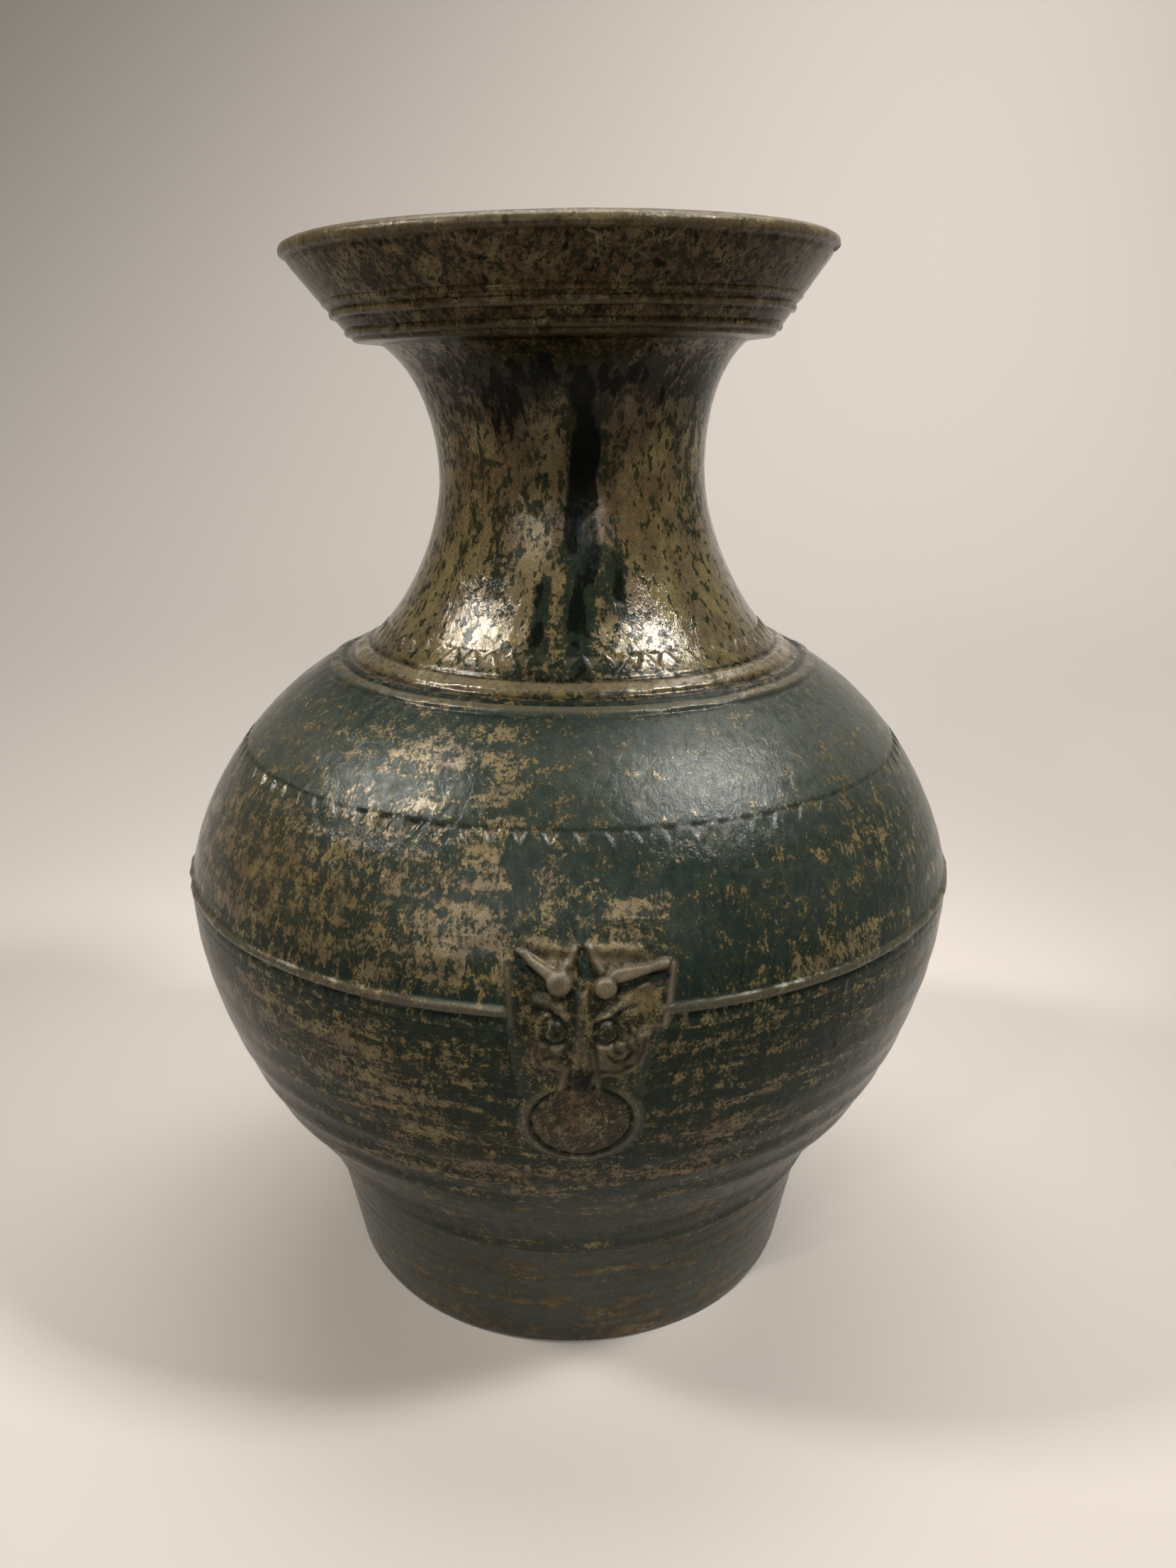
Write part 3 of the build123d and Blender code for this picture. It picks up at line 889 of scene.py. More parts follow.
def clayMaterial(name, light, dark):
    material = bpy.data.materials.new(name)
    material.use_nodes = True
    tree = material.node_tree
    shader = tree.nodes["Principled BSDF"]
    where = tree.nodes.new("ShaderNodeTexCoord").outputs["Object"]
    cloud = noise(tree, where, clayScales["cloud"], 5.0, 0.6)
    grit = noise(tree, where, clayScales["grit"], 3.0, 0.6)
    mixed = ramp(tree, timesPlus(tree, grit, 0.4, times(tree, cloud, 0.6)), 0.35, 0.65)
    link(tree, blend(tree, mixed, dark, light), shader.inputs["Base Color"])
    link(tree, ramp(tree, grit, 0.3, 0.7, 0.75, 0.95), shader.inputs["Roughness"])
    relief = tree.nodes.new("ShaderNodeBump")
    relief.inputs["Strength"].default_value = 0.4
    relief.inputs["Distance"].default_value = 0.0005
    link(tree, grit, relief.inputs["Height"])
    link(tree, relief.outputs[0], shader.inputs["Normal"])
    return material


# shine of the glass, gloss of the worn skin, stretch of the runs, dark dashes, rows, fineness
glazeKinds = {
    "olive": {"shine": 0.05, "gloss": 0.3, "fall": 0.8, "dash": 1.0, "rows": 0.0, "fineness": 1.6},
    "golden": {"shine": 0.08, "gloss": 1.0, "fall": 0.62, "dash": 1.0, "rows": 0.05, "fineness": 1.15},
    "green": {"shine": 0.08, "gloss": 1.0, "fall": 0.6, "dash": 0.7, "rows": 0.24, "fineness": 1.6},
    "banded": {"shine": 0.06, "gloss": 0.3, "fall": 1.0, "dash": 0.7, "rows": 0.36, "fineness": 1.7},
    "dark": {"shine": 0.13, "gloss": 0.2, "fall": 1.6, "dash": 0.5, "rows": 0.45, "fineness": 1.2},
    "mask": {"shine": 0.08, "gloss": 0.6, "fall": 1.0, "dash": 0.6, "rows": 0.0, "fineness": 2.0},
}
glazes = {kind: glazeMaterial(kind + "Glaze", **settings) for kind, settings in glazeKinds.items()}
bareClay = clayMaterial("bareClay", (0.34, 0.235, 0.165), (0.24, 0.155, 0.10))
firedSlip = clayMaterial("firedSlip", (0.32, 0.22, 0.155), (0.22, 0.145, 0.095))

# dish mouth

mouthThrow = {"Segments": 640, "Wobble": 0.0007, "Rib Height": 0.00008, "Rib Pitch": 0.004, "Seed": 3}
mouthRows = {"step": 0.0011, "insideStep": 0.003,
             "fineLevels": [(0.3702, 0.003, 0.0004), (0.3780, 0.005, 0.0004), (0.3980, 0.004, 0.0004)]}
mouthZones = {"gold": 0.60, "dark": 0.32, "brown": 0.95, "slate": 0.0}
lipChips = [       # azimuth, radius and level of the middle, reach, depth
    {"azimuth": 77, "radius": 0.0965, "level": 0.3990, "reach": 0.0052, "depth": 0.0022},
    {"azimuth": -60, "radius": 0.0940, "level": 0.4000, "reach": 0.0022, "depth": 0.0008},
]


def chipLip(piece):
    mesh = piece.data
    co, dark = getPoints(mesh), getField(mesh, "dark")
    for chip in lipChips:
        a = math.radians(chip["azimuth"])
        middle = np.array((math.sin(a) * chip["radius"], -math.cos(a) * chip["radius"], chip["level"]))
        into = np.array((-math.sin(a) * 0.6, math.cos(a) * 0.6, -0.8))
        away = np.linalg.norm(co - middle, axis=1) / chip["reach"]
        bite = np.clip(1 - away ** 2, 0, 1) ** 0.7
        co += into * (bite * chip["depth"])[:, None]
        dark = np.maximum(dark, bite * 0.9)
    setPoints(mesh, co)
    setField(mesh, "dark", dark)


mouthPiece = throwPiece("mouthDish", wallLoop("mouth_dish", **mouthRows), glazes["olive"], **mouthThrow)
paintZones(mouthPiece, **mouthZones)
wearCrests(mouthPiece, crestThin=0.5)
chipLip(mouthPiece)
leanOver(mouthPiece)
finishPiece(mouthPiece, "olive_glaze", "mouth_dish")

# neck

neckThrow = {"Segments": 660, "Wobble": 0.0007, "Rib Height": 0.00003, "Rib Pitch": 0.007, "Stamp Count": 60,
             "Stamp Top": 0.2665, "Stamp Drop": 0.0047, "Stamp Width": 0.95, "Stamp Depth": 0.0006, "Seed": 3}
neckRows = {"step": 0.0016, "insideStep": 0.006,
            "fineLevels": [(0.2570, 0.0035, 0.0005), (0.2640, 0.0036, 0.0005)]}
neckZones = {"gold": 0.74, "dark": 0.14, "brown": 0.35, "slate": 0.0}
neckPiece = throwPiece("neckWall", wallLoop("neck", **neckRows), glazes["golden"], **neckThrow)
paintZones(neckPiece, **neckZones)
wearCrests(neckPiece, crestThin=0.6, stampThin=0.7)
leanOver(neckPiece)
finishPiece(neckPiece, "golden_glaze", "neck")

# shoulder

maskGap = 0.150               # sine of the half angle that a mask takes up
shoulderThrow = {"Segments": 1032, "Wobble": 0.0009, "Rib Height": 0.0001, "Rib Pitch": 0.009,
                 "Stamp Count": 86, "Stamp Top": 0.2240, "Stamp Drop": 0.0047, "Stamp Width": 0.66,
                 "Stamp Depth": 0.0009, "Stamp Wear": 0.7, "Line Width": 0.0008,
                 "Mask Gap": maskGap, "Seed": 3}
shoulderRows = {"step": 0.0024, "insideStep": 0.014,
                "fineLevels": [(0.2520, 0.0034, 0.0006), (0.2218, 0.0036, 0.0006), (0.1745, 0.0036, 0.0005)]}
shoulderZones = {"gold": 0.22, "dark": 0.10, "brown": 0.15, "slate": 0.1, "mostGold": 0.48}
shoulderLoop = wallLoop("shoulder", **shoulderRows)
shoulderPiece = throwPiece("shoulderWall", shoulderLoop, glazes["green"], **shoulderThrow)
paintZones(shoulderPiece, **shoulderZones)
wearCrests(shoulderPiece, crestThin=0.5, stampThin=0.5, stampPool=0.1, scorePool=0.7)
leanOver(shoulderPiece)
finishPiece(shoulderPiece, "green_glaze", "shoulder")

# lower body

lowerThrow = {"Segments": 768, "Wobble": 0.0009, "Rib Height": 0.0006, "Rib Pitch": 0.013, "Rib Top": 0.125,
              "Mask Gap": maskGap, "Seed": 3}
lowerRows = {"step": 0.0015, "insideStep": 0.014, "fineLevels": [(0.054, 0.006, 0.0007)]}
lowerZones = {"gold": 0.24, "dark": 0.20, "brown": 0.25, "slate": 0.0, "mostGold": 0.55}
lowerPiece = throwPiece("lowerBody", wallLoop("lower_body", **lowerRows), glazes["banded"], **lowerThrow)
paintZones(lowerPiece, **lowerZones)
wearCrests(lowerPiece, crestThin=0.1, groovePool=0.0)
finishPiece(lowerPiece, "green_glaze", "lower_body")

# foot and base

footThrow = {"Segments": 640, "Wobble": 0.0009, "Rib Height": 0.00018, "Rib Pitch": 0.006, "Seed": 3}
footRows = {"step": 0.0012, "insideStep": 0.006, "fineLevels": [(0.037, 0.003, 0.0005)]}
footZones = {"gold": 0.30, "dark": 0.16, "brown": 0.8, "slate": 0.85}
footPiece = throwPiece("footWall", wallLoop("foot_wall", **footRows), glazes["dark"], **footThrow)
standing = getPoints(footPiece.data)
setPoints(footPiece.data, np.maximum(standing, (-1, -1, 0)))      # nothing under the floor
paintZones(footPiece, **footZones)
wearCrests(footPiece, crestThin=0.1, groovePool=0.0)
finishPiece(footPiece, "dark_glaze", "foot_wall")

discThrow = {"Segments": 256}
discRings = {"pitch": 0.009, "depth": 0.0007, "dish": 0.0006, "eye": 0.0004, "edge": 0.006}


def discLoop():
    # thrown floor with finger rings on top, and a base that is a little hollow
    low, high = footInside(f["discLow"])[0], footInside(f["discHigh"])[0]
    gap = seamSizes["slip"]
    r = np.linspace(high - gap, discRings["eye"], 90)
    fade = smooth(0, discRings["edge"], high - gap - r)
    wave = 0.6 - 0.4 * np.cos(r / discRings["pitch"] * math.tau)
    top = f["discHigh"] - fade * discRings["depth"] * wave
    under = np.linspace(discRings["eye"], low - gap, 12)
    hollow = f["discLow"] + discRings["dish"] * (1 - (under / low) ** 2)
    return plainLoop(*np.column_stack([r, top]), *np.column_stack([under, hollow]))


discPiece = throwPiece("baseDisc", discLoop(), bareClay, **discThrow)
finishPiece(discPiece, "bare_clay", "base_disc")


def closedBand(name, node, *corners):
    band = throwPiece(name, plainLoop(*corners), firedSlip, Segments=256)
    leanOver(band)
    finishPiece(band, "fired_slip", node, sharp=30)


for label, node, seam in (("mouthSlip", "mouth_slip", mouthSeam), ("neckSlip", "neck_slip", neckSeam),
                          ("bellySlip", "belly_slip", bellySeam), ("footSlip", "foot_slip", footSeam)):
    back = (seam["lip"] - seam["below"]) * seamSizes["drawnBack"]
    closedBand(label, node, seam["lip"], seam["lipAbove"], seam["above"] + back, seam["below"] + back)
slipLow, slipHigh = footInside(f["discLow"]), footInside(f["discHigh"])
slipWide = (seamSizes["slip"], 0)
closedBand("baseSlip", "base_slip", slipLow, slipHigh, slipHigh - slipWide, slipLow - slipWide)

# masks: reliefs in mm off the wall, placed by mm across and mm up the jar

maskSizes = {"step": 0.4, "half": 31.0, "low": 112.0, "high": 201.0, "under": 0.1, "sunk": 1.3, "back": 2.6,
             "margin": 0.2, "soften": 0.6, "grain": 0.06, "grainWidth": 2.0, "grainAbove": -0.5,
             "wall": (0.1, 0.21)}     # levels of the wall they sit on, in metres
maskZones = {"gold": 0.23, "dark": 0.13, "brown": 0.22, "slate": 0.05, "mostGold": 0.60}
maskBed = {"every": 3, "share": 0.5, "most": 0.4, "drop": 0.5, "back": 2.0}
maskPlaque = {
    "rise": 0.6, "feather": 2.2, "drop": 1.6, "fade": (199.0, 186.0), "faintest": 0.3,
    "gold": 0.18, "dark": 0.07, "brown": 0.25, "toned": (-1, 6),
    "points": [(-23.5, 190), (-22.6, 178), (-21.8, 168), (-19.6, 157), (-18.6, 146), (18.2, 146), (19.4, 156),
               (24.2, 168.5), (26.6, 178), (28.4, 189), (25, 199), (8, 203), (-8, 203), (-19, 199)],
}
maskRing = {
    "level": 135.1, "inner": 15.3, "band": 5.4, "wide": 1.04, "tall": 0.965,
    "top": (151.5, 148.5), "bow": 0.1, "reach": (1.8, 1.4), "clear": 0.9,
    "proud": 1.5, "crest": 0.8, "steep": 1.5, "groove": 0.6, "grooveWidth": 0.5,
    "disc": 1.05, "dome": 0.35, "ease": 0.4, "easeFrom": 1.6, "easeTo": 0.2,
}
ringTones = {      # off the inner edge, and width
    "crest": {"off": 1.9, "width": 1.1, "thin": 0.2},
    "groove": {"off": 0, "width": 0.45, "pool": 0.55},
    "middle": {"width": 8.0, "gold": 0.28},
    "disc": {"edge": 1.5, "gold": 0.08, "brown": 0.7, "thin": -0.35},
}
domeSizes = {"moat": (1.15, 0.17), "rim": (1.48, 0.15), "flat": 2.4, "toned": (1.1, 0.8)}   # in half sizes
maskWear = {       # widths in steps, mm of height for a full tone, share of the slope that sets the painted top light and shade, the most of each
    "around": 3.5, "slope": 1.0, "spread": 1.0,
    "crestPer": 1.4, "crestMost": 0.35, "hollowPer": 0.7, "hollowMost": 0.6,
    "facing": 0.3, "upMost": 0.35, "downMost": 0.5,
}
areaUpperTone = 0.5     # what an area's tones lose towards its upper level
maskAreas = [      # raised fields: rise at the lower and upper level, width of the edge
    # brows
    {"rise": (3.2, 2.0), "levels": (184, 190), "edge": 0.9, "thin": 0.3, "points": [
        (27.2, 189.4), (25.8, 186.4), (20.6, 185.5), (15.7, 184.1), (10.6, 183.0), (6.8, 185.4), (8.8, 188.0),
        (13.5, 188.6), (19.5, 188.9), (24.6, 190.2)]},
    {"rise": (3.2, 2.2), "levels": (184, 192), "edge": 0.9, "thin": 0.3, "points": [
        (-20.2, 192.6), (-16.0, 188.5), (-12.2, 185.3), (-9.8, 183.4), (-6.0, 187.2), (-9.2, 188.6),
        (-13.2, 190.9), (-17.0, 193.8)]},
    # nose
    {"rise": (2.3, 1.7), "levels": (156, 178), "edge": 2.4, "gold": 0.2, "brown": -0.1, "points": [
        (-2.4, 182), (2.8, 182), (3.2, 172.0), (2.8, 165.4), (4.2, 156.6), (3.4, 154.6), (-3.2, 154.6),
        (-4.1, 156.7), (-2.9, 165.5)]},
    # cheeks
    {"rise": (1.7, 1.9), "levels": (152, 169), "edge": 1.4, "thin": 0.4, "brown": 0.5, "points": [
        (3.4, 165.3), (13.2, 165.8), (18.1, 169.0), (22.3, 169.4), (20.6, 165.1), (20.0, 160.5),
        (18.8, 156.5), (14.4, 153.3), (6.9, 152.6), (5.4, 150.2)]},
    {"rise": (1.4, 1.6), "levels": (152, 167), "edge": 1.6, "thin": 0.2, "brown": 0.6, "gold": 0.2,
     "points": [
        (-4.6, 164.6), (-13.7, 166.5), (-16.4, 161.8), (-14.8, 157.2), (-7.0, 152.4), (-5.4, 154.5),
        (-6.0, 160.2)]},
]
maskDomes = [      # middle, half sizes, rise
    # knobs of the brows
    {"at": (7.1, 182.3), "half": (3.6, 3.3), "rise": 3.5, "flat": 7, "thin": 0.35},
    {"at": (-6.7, 183.7), "half": (4.1, 3.8), "rise": 3.6, "flat": 7, "thin": 0.35},
    # eyes
    {"at": (7.4, 168.6), "half": (3.3, 3.5), "rise": 1.9, "moat": 0.55, "rim": 0.35,
     "gold": -0.1, "thin": -0.6},
    {"at": (-8.0, 169.0), "half": (3.5, 3.8), "rise": 1.9, "moat": 0.55, "rim": 0.35,
     "gold": -0.15, "thin": -0.6},
    # snout
    {"at": (0.2, 152.2), "half": (3.9, 6.0), "rise": 2.8, "pool": 0.9},
]
maskStrokes = [    # ridges and cuts: width, rise (a cut is negative), and the lines that share them
    # edges of the plaque
    {"width": 1.4, "rise": 0.8, "thin": 0.6, "lines": [[(27.4, 187.5), (26.1, 177), (24.8, 170)]]},
    {"width": 0.7, "rise": -0.5, "pool": 0.5, "lines": [[(25.6, 184.5), (24.5, 177), (23.4, 171)]]},
    {"width": 0.7, "rise": 0.35, "thin": 0.4, "lines": [[(-22.3, 187), (-21.6, 177), (-21.3, 170.5)]]},
    # parting, and the cuts under the brows, blackened as painted shadow
    {"width": 2.2, "rise": -0.8, "pool": 0.9, "lines": [[(0.6, 199), (0.7, 189.7), (0.6, 187.0)]]},
    {"width": 1.0, "rise": -0.7, "pool": 1.0, "lines": [
        [(25.4, 185.0), (20.6, 184.2), (15.7, 182.7), (11.9, 181.2)]]},
    {"width": 1.3, "rise": -0.7, "pool": 1.0, "lines": [
        [(-18.8, 189.6), (-15.8, 186.8), (-12.8, 183.8), (-11.2, 181.8)]]},
    # curls beside the parting
    {"width": 1.1, "rise": 1.2, "thin": 0.4, "lines": [[(-1.8, 193.0), (-3.2, 190.4), (-5.0, 187.6)]]},
    {"width": 1.2, "rise": 1.4, "thin": 0.4, "lines": [[(1.8, 193.8), (3.4, 190.8), (6.0, 187.0)]]},
    {"width": 1.6, "rise": 0.6, "thin": 0.05, "gold": 0.3, "lines": [
        [(-16.5, 195.2), (-10, 193.8), (-5, 193.0), (-2.0, 193.4)]]},
    {"width": 1.7, "rise": 0.8, "thin": 0.1, "gold": 0.3, "lines": [
        [(2.2, 194.2), (6.5, 192.9), (12, 193.0), (17, 192.4)]]},
    # lids, with a cut under each, and pupils
    {"width": 1.1, "rise": 0.9, "thin": 0.1, "lines": [
        [(-13.8, 178.8), (-10.4, 177.9), (-7.2, 176.2), (-4.7, 172.9)],
        [(14.6, 178.2), (12.6, 177.3), (9.6, 175.4), (5.2, 172.6)]]},
    {"width": 0.8, "rise": -0.5, "pool": 0.7, "lines": [[(-14.0, 176.6), (-10.4, 175.8), (-7.2, 174.0)]]},
    {"width": 0.8, "rise": -0.5, "pool": 0.6, "lines": [[(16.0, 176.4), (12.4, 175.2), (9.2, 173.3)]]},
    {"width": 1.2, "rise": -0.8, "pool": 0.9, "lines": [[(-7.3, 168.8), (-7.2, 168.0)]]},
    {"width": 0.9, "rise": -0.6, "pool": 0.7, "lines": [[(7.2, 168.8), (7.4, 168.2)]]},
    # edges of the snout and the right cheek
    {"width": 0.7, "rise": 0.8, "thin": 0.7, "lines": [[(2.9, 163), (3.9, 157.1), (5.2, 147.7)]]},
    {"width": 0.9, "rise": 0.7, "thin": 0.7, "lines": [[(-4.2, 156.7), (-5.8, 152), (-6.4, 148.3)]]},
    {"width": 0.7, "rise": 0.6, "thin": 0.5, "lines": [[(13.5, 166.4), (18.1, 169.2), (22.8, 169.8)]]},
    # scrolls on the cheeks
    {"width": 0.6, "rise": -0.6, "pool": 0.9, "lines": [
        [(6.2, 155.4), (11.5, 155.0), (16.0, 157.6), (18.2, 162.0), (18.8, 166.4)],
        [(7.4, 161.6), (9.6, 159.0), (13.0, 159.4), (15.2, 162.2), (13.4, 164.2)]]},
    {"width": 0.55, "rise": -0.5, "pool": 0.8, "lines": [
        [(9.4, 164.8), (10.0, 162.2), (11.6, 161.8)],
        [(15.8, 167.0), (16.6, 164.4), (16.2, 161.4)]]},
    {"width": 0.5, "rise": -0.4, "pool": 0.4, "lines": [[(12.2, 158.0), (13.8, 156.6)]]},
    {"width": 0.6, "rise": -0.5, "pool": 0.8, "lines": [
        [(-7, 155.4), (-11.5, 156.6), (-14, 160.5), (-13.2, 164.6)]]},
    {"width": 0.6, "rise": -0.45, "pool": 0.8, "lines": [
        [(-8, 161), (-10.8, 160.0), (-11.8, 163.0), (-9.6, 164.0)]]},
    # whisker cuts
    {"width": 0.5, "rise": -0.4, "pool": 0.6, "lines": [
        [(-19.4, 171.0), (-18.6, 166.4)],
        [(-17.4, 171.6), (-16.6, 166.8)],
        [(-15.4, 172.0), (-14.6, 167.2)],
        [(13.2, 171.0), (14.4, 167.8)],
        [(15.4, 172.4), (16.6, 169.0)],
        [(17.6, 173.4), (18.8, 170.4)]]},
    # scrolls on the nose
    {"width": 0.5, "rise": -0.45, "pool": 0.5, "lines": [
        [(-0.6, 173.6), (0.8, 172.2), (-0.2, 170.6)],
        [(1.2, 168.2), (-0.4, 167.0), (0.8, 165.2)],
        [(-1.6, 163.0), (-0.2, 161.4), (-1.4, 159.8)]]},
    {"width": 0.5, "rise": -0.4, "pool": 0.5, "lines": [[(1.8, 161.6), (2.2, 158.6)]]},
]
maskHollows = [    # soft dips: middle, half sizes, depth
    {"at": (-8.0, 191.0), "half": (4.0, 1.7), "depth": 0.5, "gold": 0.7},
    {"at": (13.0, 190.8), "half": (7.5, 1.3), "depth": 0.4, "gold": 0.7},
    {"at": (18.5, 178.0), "half": (5.0, 6.0), "depth": 0.5, "gold": 0.6},
    {"at": (-17.0, 179.0), "half": (4.0, 7.5), "depth": 0.3, "pool": 0.4},
]


def areaDistance(x, z, points):
    # distance to the outline, positive inside it
    near = np.full(x.shape, 1e9)
    inside = np.zeros(x.shape, bool)
    for (ax, az), (bx, bz) in zip(points, points[1:] + points[:1]):
        near = np.minimum(near, segmentDistance(x, z, ax, az, bx, bz))
        crosses = ((az > z) != (bz > z)) & (x < (bx - ax) * (z - az) / (bz - az + 1e-12) + ax)
        inside ^= crosses
    return np.where(inside, near, -near)


def segmentDistance(x, z, ax, az, bx, bz):
    wide, tall = bx - ax, bz - az
    along = np.clip(((x - ax) * wide + (z - az) * tall) / (wide ** 2 + tall ** 2), 0, 1)
    return np.hypot(x - ax - along * wide, z - az - along * tall)


def softened(grid, sigma):
    return blurred(blurred(grid, sigma).T, sigma).T


def maskRelief(x, z):
    size, plaque, ring = maskSizes, maskPlaque, maskRing
    tones = {name: np.zeros(x.shape) for name in glazeFields}

    def tone(shape, weight):
        for name in tones:
            if name in shape:
                tones[name] += shape[name] * weight

    # the plaque feathers out into the wall, and its sheet ends under the surface
    level, feather, under = plaque["rise"], plaque["feather"], size["under"]
    near = areaDistance(x, z, plaque["points"])
    fade = smooth(*plaque["fade"], z)
    faint = plaque["faintest"] + (1 - plaque["faintest"]) * fade
    relief = (level * faint + under) * smooth(-feather, feather, near) - under
    relief -= (size["sunk"] - under) * smooth(-feather, -feather - plaque["drop"], near)
    tone(plaque, smooth(*plaque["toned"], near) * fade)
    for area in maskAreas:
        within = smooth(0, area["edge"], areaDistance(x, z, area["points"]))
        up = np.clip((z - area["levels"][0]) / (area["levels"][1] - area["levels"][0]), 0, 1)
        rise = area["rise"][0] + (area["rise"][1] - area["rise"][0]) * up
        relief = np.maximum(relief, relief + (rise - level) * within)
        tone(area, within * (1 - areaUpperTone * up))

    # ring: a low soft band, a narrow groove inside it, and a slightly domed disc
    out = np.hypot(x / ring["wide"], (z - ring["level"]) / ring["tall"])
    inner, outer = ring["inner"], ring["inner"] + ring["band"]
    band = ring["proud"] * smooth(outer, inner + ring["crest"], out) ** ring["steep"] - under
    disc = ring["disc"] + ring["dome"] * (1 - (out / inner) ** 2)
    disc -= ring["ease"] * smooth(inner - ring["easeFrom"], inner - ring["easeTo"], out)
    groove = ring["groove"] * np.exp(-((out - inner) / ring["grooveWidth"]) ** 2)
    cast = np.where(out < inner, disc, band) - groove
    cast -= (size["sunk"] - under) * smooth(outer, outer + plaque["drop"], out)
    here = smooth(outer + ring["reach"][0], outer + ring["reach"][1], out)
    here = here * smooth(*ring["top"], z + np.abs(x) * ring["bow"])
    over = np.where(out < inner + ring["clear"], cast, np.maximum(relief, cast))
    relief = over * here + relief * (1 - here)
    for spot in (ringTones["crest"], ringTones["groove"]):
        tone(spot, np.exp(-((out - inner - spot["off"]) / spot["width"]) ** 2) * here)
    tone(ringTones["middle"], np.exp(-(out / ringTones["middle"]["width"]) ** 2))
    tone(ringTones["disc"], smooth(inner, inner - ringTones["disc"]["edge"], out))

    for dome in maskDomes:
        rho = np.hypot((x - dome["at"][0]) / dome["half"][0], (z - dome["at"][1]) / dome["half"][1])
        for name, sign in (("moat", -1), ("rim", 1)):
            middle, width = domeSizes[name]
            relief += sign * dome.get(name, 0) * np.exp(-((rho - middle) / width) ** 2)
        swell = np.sqrt(np.clip(1 - rho ** dome.get("flat", domeSizes["flat"]), 0, 1))
        cap = level + (dome["rise"] - level) * swell
        relief = np.where(rho < 1, np.maximum(relief, cap), relief)
        tone(dome, smooth(*domeSizes["toned"], rho))
    for stroke in maskStrokes:
        for line in stroke["lines"]:
            near = np.min([segmentDistance(x, z, *start, *end) for start, end in zip(line, line[1:])], axis=0)
            weight = np.exp(-(near / stroke["width"]) ** 2)
            relief += stroke["rise"] * weight
            tone(stroke, weight)
    for hollow in maskHollows:
        rho = np.hypot((x - hollow["at"][0]) / hollow["half"][0], (z - hollow["at"][1]) / hollow["half"][1])
        weight = np.exp(-rho ** 2)
        relief -= hollow["depth"] * weight
        tone(hollow, weight)
    return relief, tones


def wallAt(level):
    # radius of the bare wall at a level, and its outward direction
    low, high = maskSizes["wall"]
    part = bareWall[(bareWall[:, 1] > low) & (bareWall[:, 1] < high)]
    return [np.interp(level, part[:, 1], part[:, k]) for k in (0, 2, 3)]


def reliefSheet(name, x, z, relief, sunk, back, turn):
    # closed sheet: the relief in front, a plain back inside the wall, walls round the edge
    radius, outR, outZ = wallAt(z / 1000)
    azimuth = np.arcsin(x / 1000 / radius) + turn

    def place(lift):
        r = radius + outR * lift / 1000
        spot = np.stack([np.sin(azimuth) * r, -np.cos(azimuth) * r, z / 1000 + outZ * lift / 1000], -1)
        return spot.reshape(-1, 3)

    rows, columns = x.shape
    raised = relief > -sunk + maskSizes["margin"]
    cells = raised[:-1, :-1] | raised[1:, :-1] | raised[:-1, 1:] | raised[1:, 1:]
    index = np.arange(rows * columns).reshape(rows, columns)
    a, b, c, d = index[:-1, :-1], index[:-1, 1:], index[1:, 1:], index[1:, :-1]
    front = np.stack([a, b, c, d], -1)[cells]
    count = rows * columns
    edges = np.concatenate([front[:, [k, (k + 1) % 4]] for k in range(4)])
    keys = np.sort(edges, 1) @ (count, 1)
    once = np.isin(keys, [key for key, seen in zip(*np.unique(keys, return_counts=True)) if seen == 1])
    rimEdges = edges[once]
    sides = np.column_stack([rimEdges[:, 1], rimEdges[:, 0], rimEdges[:, 0] + count, rimEdges[:, 1] + count])
    faces = np.concatenate([front, front[:, ::-1] + count, sides])
    used, packed = np.unique(faces, return_inverse=True)
    mesh = bpy.data.meshes.new(name)
    corners = np.concatenate([place(relief), place(np.full(x.shape, -back))])[used]
    mesh.from_pydata(corners.tolist(), [], packed.reshape(-1, 4).tolist())
    work = bmesh.new()
    work.from_mesh(mesh)
    bmesh.ops.recalc_face_normals(work, faces=work.faces)
    work.to_mesh(mesh)
    work.free()
    piece = bpy.data.objects.new(name, mesh)
    scene.collection.objects.link(piece)
    return piece, used % count


def pressMask(side, turn, seed):
    size, wear = maskSizes, maskWear
    across = np.arange(-size["half"], size["half"] + 0.01, size["step"])
    upwards = np.arange(size["low"], size["high"] + 0.01, size["step"])
    x, z = np.meshgrid(across, upwards)
    relief, tones = maskRelief(x, z)
    draw = np.random.default_rng(seed).normal(size=x.shape)
    lumps = softened(draw, size["grainWidth"])
    grain = lumps / lumps.std() * size["grain"] * (relief > size["grainAbove"])
    relief = softened(relief, size["soften"]) + grain
    piece, used = reliefSheet(side + "Mask", x, z, relief, size["sunk"], size["back"], turn)
    paintZones(piece, **maskZones)
    # thin on crests and pooled in hollows, with painted light on slopes that face up and painted shade on
    # slopes that face down
    crown = relief - softened(relief, wear["around"])
    facing = -np.gradient(softened(relief, wear["slope"]), size["step"], axis=0) * wear["facing"]
    tones["thin"] += np.clip(crown / wear["crestPer"], 0, wear["crestMost"])
    tones["thin"] += np.clip(facing, 0, wear["upMost"])
    tones["pool"] += np.clip(-crown / wear["hollowPer"], 0, wear["hollowMost"])
    tones["pool"] += np.clip(-facing, 0, wear["downMost"])
    for name, values in tones.items():
        spread = softened(values, wear["spread"]).ravel()[used]
        base = getField(piece.data, name) if name in zoneFields else 0
        setField(piece.data, name, np.clip(base + spread, 0, 1))
    piece.data.materials.append(glazes["mask"])
    finishPiece(piece, "green_glaze", side + "_mask")
    x, z, relief = (grid[::maskBed["every"], ::maskBed["every"]] for grid in (x, z, relief))
    low = np.minimum(relief * maskBed["share"], maskBed["most"]) - maskBed["drop"]
    bed, _ = reliefSheet(side + "MaskSlip", x, z, low, size["sunk"], maskBed["back"], turn)
    bed.data.materials.append(firedSlip)
    finishPiece(bed, "fired_slip", side + "_mask_slip")


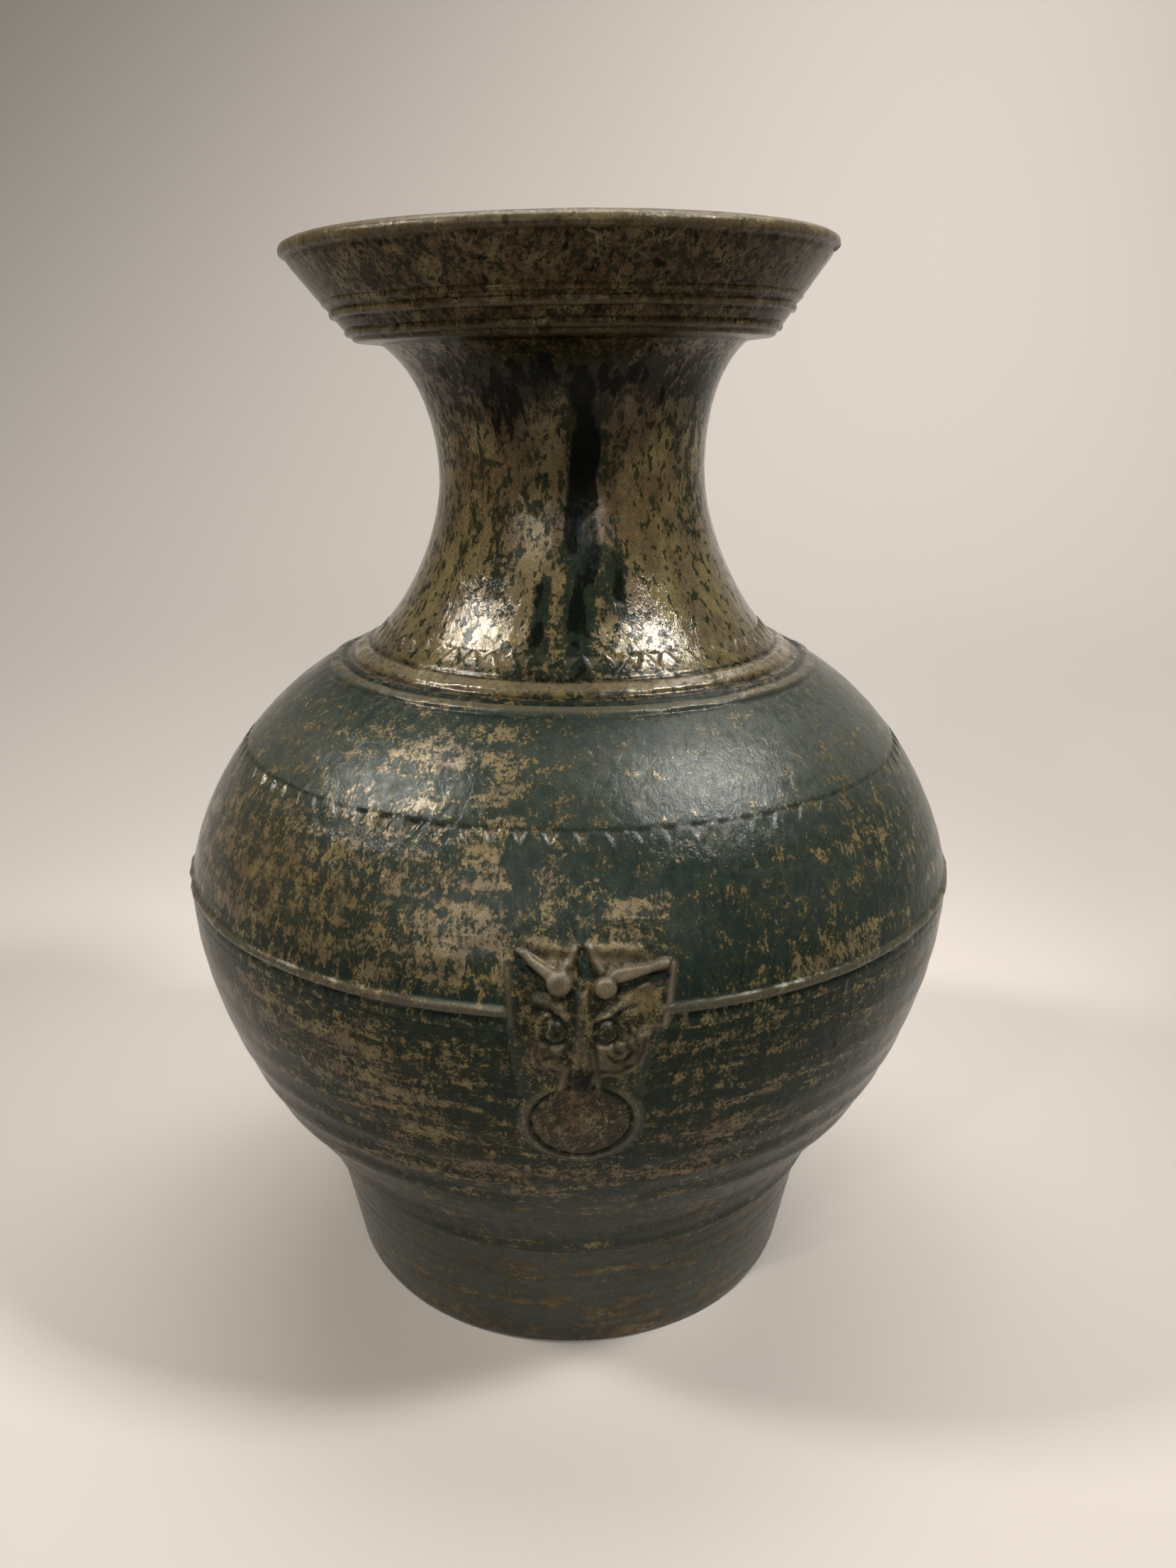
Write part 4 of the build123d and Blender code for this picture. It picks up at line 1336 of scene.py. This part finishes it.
pressMask("front", 0.0, 5)
pressMask("rear", math.pi, 6)


# camera where the photograph was taken from

photo = {
    "height": 2212,           # pixels
    "focal": 1720.0,          # pixels
    "distance": 0.4719,
    "level": 0.3544,
    "pitch": 0.3217,
    "yaw": 0.0154,
    "roll": -0.0038,
    "round": math.radians(-1.3),   # the mask sits a little right of the middle
}


def setCamera():
    data = bpy.data.cameras.new("photoCamera")
    data.sensor_width = 36.0
    data.lens = photo["focal"] / photo["height"] * data.sensor_width
    data.clip_start = 0.01
    camera = bpy.data.objects.new("photoCamera", data)
    scene.collection.objects.link(camera)
    turn = Matrix.Rotation(photo["round"], 4, "Z")
    stand = turn @ Matrix.Translation((0, -photo["distance"], photo["level"]))
    aim = Matrix.Rotation(-photo["yaw"], 4, "Z") @ Matrix.Rotation(math.pi / 2 - photo["pitch"], 4, "X")
    camera.matrix_world = stand @ aim @ Matrix.Rotation(-photo["roll"], 4, "Z")
    scene.camera = camera


setCamera()


lampSizes = {     # what it points at, where it stands from there, its size, its spread in degrees
    "leftWindow": {
        "aim": (0, 0, 0.2), "azimuth": -80, "elevation": 45, "distance": 1.4,
        "size": (0.20, 0.20), "spread": 44, "watts": 1.15, "colour": (1.0, 0.95, 0.88)},
    "rightPanel": {
        "aim": (0, 0, 0.2), "azimuth": 66, "elevation": 53, "distance": 1.4,
        "size": (0.22, 0.20), "spread": 44, "watts": 1.4, "colour": (1.0, 0.98, 0.95)},
    "frontLeft": {
        "aim": (0, 0, 0.2), "azimuth": -33, "elevation": 24, "distance": 1.7,
        "size": (0.08, 0.10), "spread": 44, "watts": 0.26, "colour": (1.0, 0.97, 0.92)},
    "frontRight": {
        "aim": (0, 0, 0.2), "azimuth": 13, "elevation": 23, "distance": 1.7,
        "size": (0.07, 0.10), "spread": 44, "watts": 0.20, "colour": (1.0, 0.98, 0.95)},
    "maskSpot": {
        "aim": (0, -0.14, 0.118), "azimuth": -24, "elevation": 52, "distance": 1.3,
        "size": (0.08, 0.08), "spread": 6, "watts": 0.012, "colour": (1.0, 0.96, 0.90)},
    "floorStrip": {
        "aim": (0, -0.42, 0), "azimuth": 0, "elevation": 56, "distance": 1.2,
        "size": (1.60, 0.06), "spread": 30, "watts": 0.55, "colour": (1.0, 0.985, 0.965)},
    "topPanel": {
        "aim": (0, 0, 0.2), "azimuth": 172, "elevation": 73, "distance": 1.6,
        "size": (1.60, 1.10), "spread": 180, "watts": 33, "colour": (1.0, 0.98, 0.955)},
    "backdropLamp": {
        "aim": (0.80, 1.95, 0.9), "azimuth": 0, "elevation": 36, "distance": 1.4,
        "size": (0.90, 0.50), "spread": 180, "watts": 25, "colour": (1.0, 0.98, 0.955)},
}


def areaLamp(name, aim, azimuth, elevation, distance, size, spread, watts, colour):
    lamp = bpy.data.lights.new(name, "AREA")
    lamp.shape = "RECTANGLE"
    lamp.size, lamp.size_y = size
    lamp.energy = watts
    lamp.color = colour
    lamp.spread = math.radians(spread)
    holder = bpy.data.objects.new(name, lamp)
    scene.collection.objects.link(holder)
    aside = Matrix.Rotation(math.radians(azimuth), 4, "Z")
    tip = Matrix.Rotation(math.radians(90 - elevation), 4, "X")
    holder.matrix_world = Matrix.Translation(aim) @ aside @ tip @ Matrix.Translation((0, 0, distance))


for label, settings in lampSizes.items():
    areaLamp(label, **settings)


roomLight = {"colour": (0.80, 0.76, 0.71, 1), "strength": 0.12}


def setWorld():
    world = bpy.data.worlds.new("dimRoom")
    scene.world = world
    world.use_nodes = True
    back = world.node_tree.nodes["Background"]
    back.inputs["Color"].default_value = roomLight["colour"]
    back.inputs["Strength"].default_value = roomLight["strength"]


setWorld()
print("camera and lamps set", list(lampSizes))

paperSizes = {"front": -1.8, "bend": 0.3, "back": 2.0, "sweep": 1.4, "top": 2.6, "half": 2.6,
              "colour": (0.44, 0.404, 0.368, 1), "roughness": 0.9}


def paperStage():
    # one sheet of pale paper, flat under the jar and swept up behind it
    turn = np.linspace(0, math.pi / 2, 48)
    bend, back, rise = paperSizes["bend"], paperSizes["back"], paperSizes["sweep"]
    sweep = np.column_stack([bend + (back - bend) * np.sin(turn), rise - rise * np.cos(turn)])
    path = np.concatenate([[(paperSizes["front"], 0)], sweep, [(back, paperSizes["top"])]])
    corners = [(side * paperSizes["half"], y, z) for y, z in path for side in (-1, 1)]
    faces = [(2 * k, 2 * k + 1, 2 * k + 3, 2 * k + 2) for k in range(len(path) - 1)]
    mesh = bpy.data.meshes.new("paperStage")
    mesh.from_pydata(corners, [], faces)
    mesh.polygons.foreach_set("use_smooth", [True] * len(mesh.polygons))
    sheet = bpy.data.objects.new("paperStage", mesh)
    scene.collection.objects.link(sheet)
    material = bpy.data.materials.new("palePaper")
    material.use_nodes = True
    shader = material.node_tree.nodes["Principled BSDF"]
    shader.inputs["Base Color"].default_value = paperSizes["colour"]
    shader.inputs["Roughness"].default_value = paperSizes["roughness"]
    mesh.materials.append(material)


paperStage()
scene.view_settings.view_transform = "Standard"
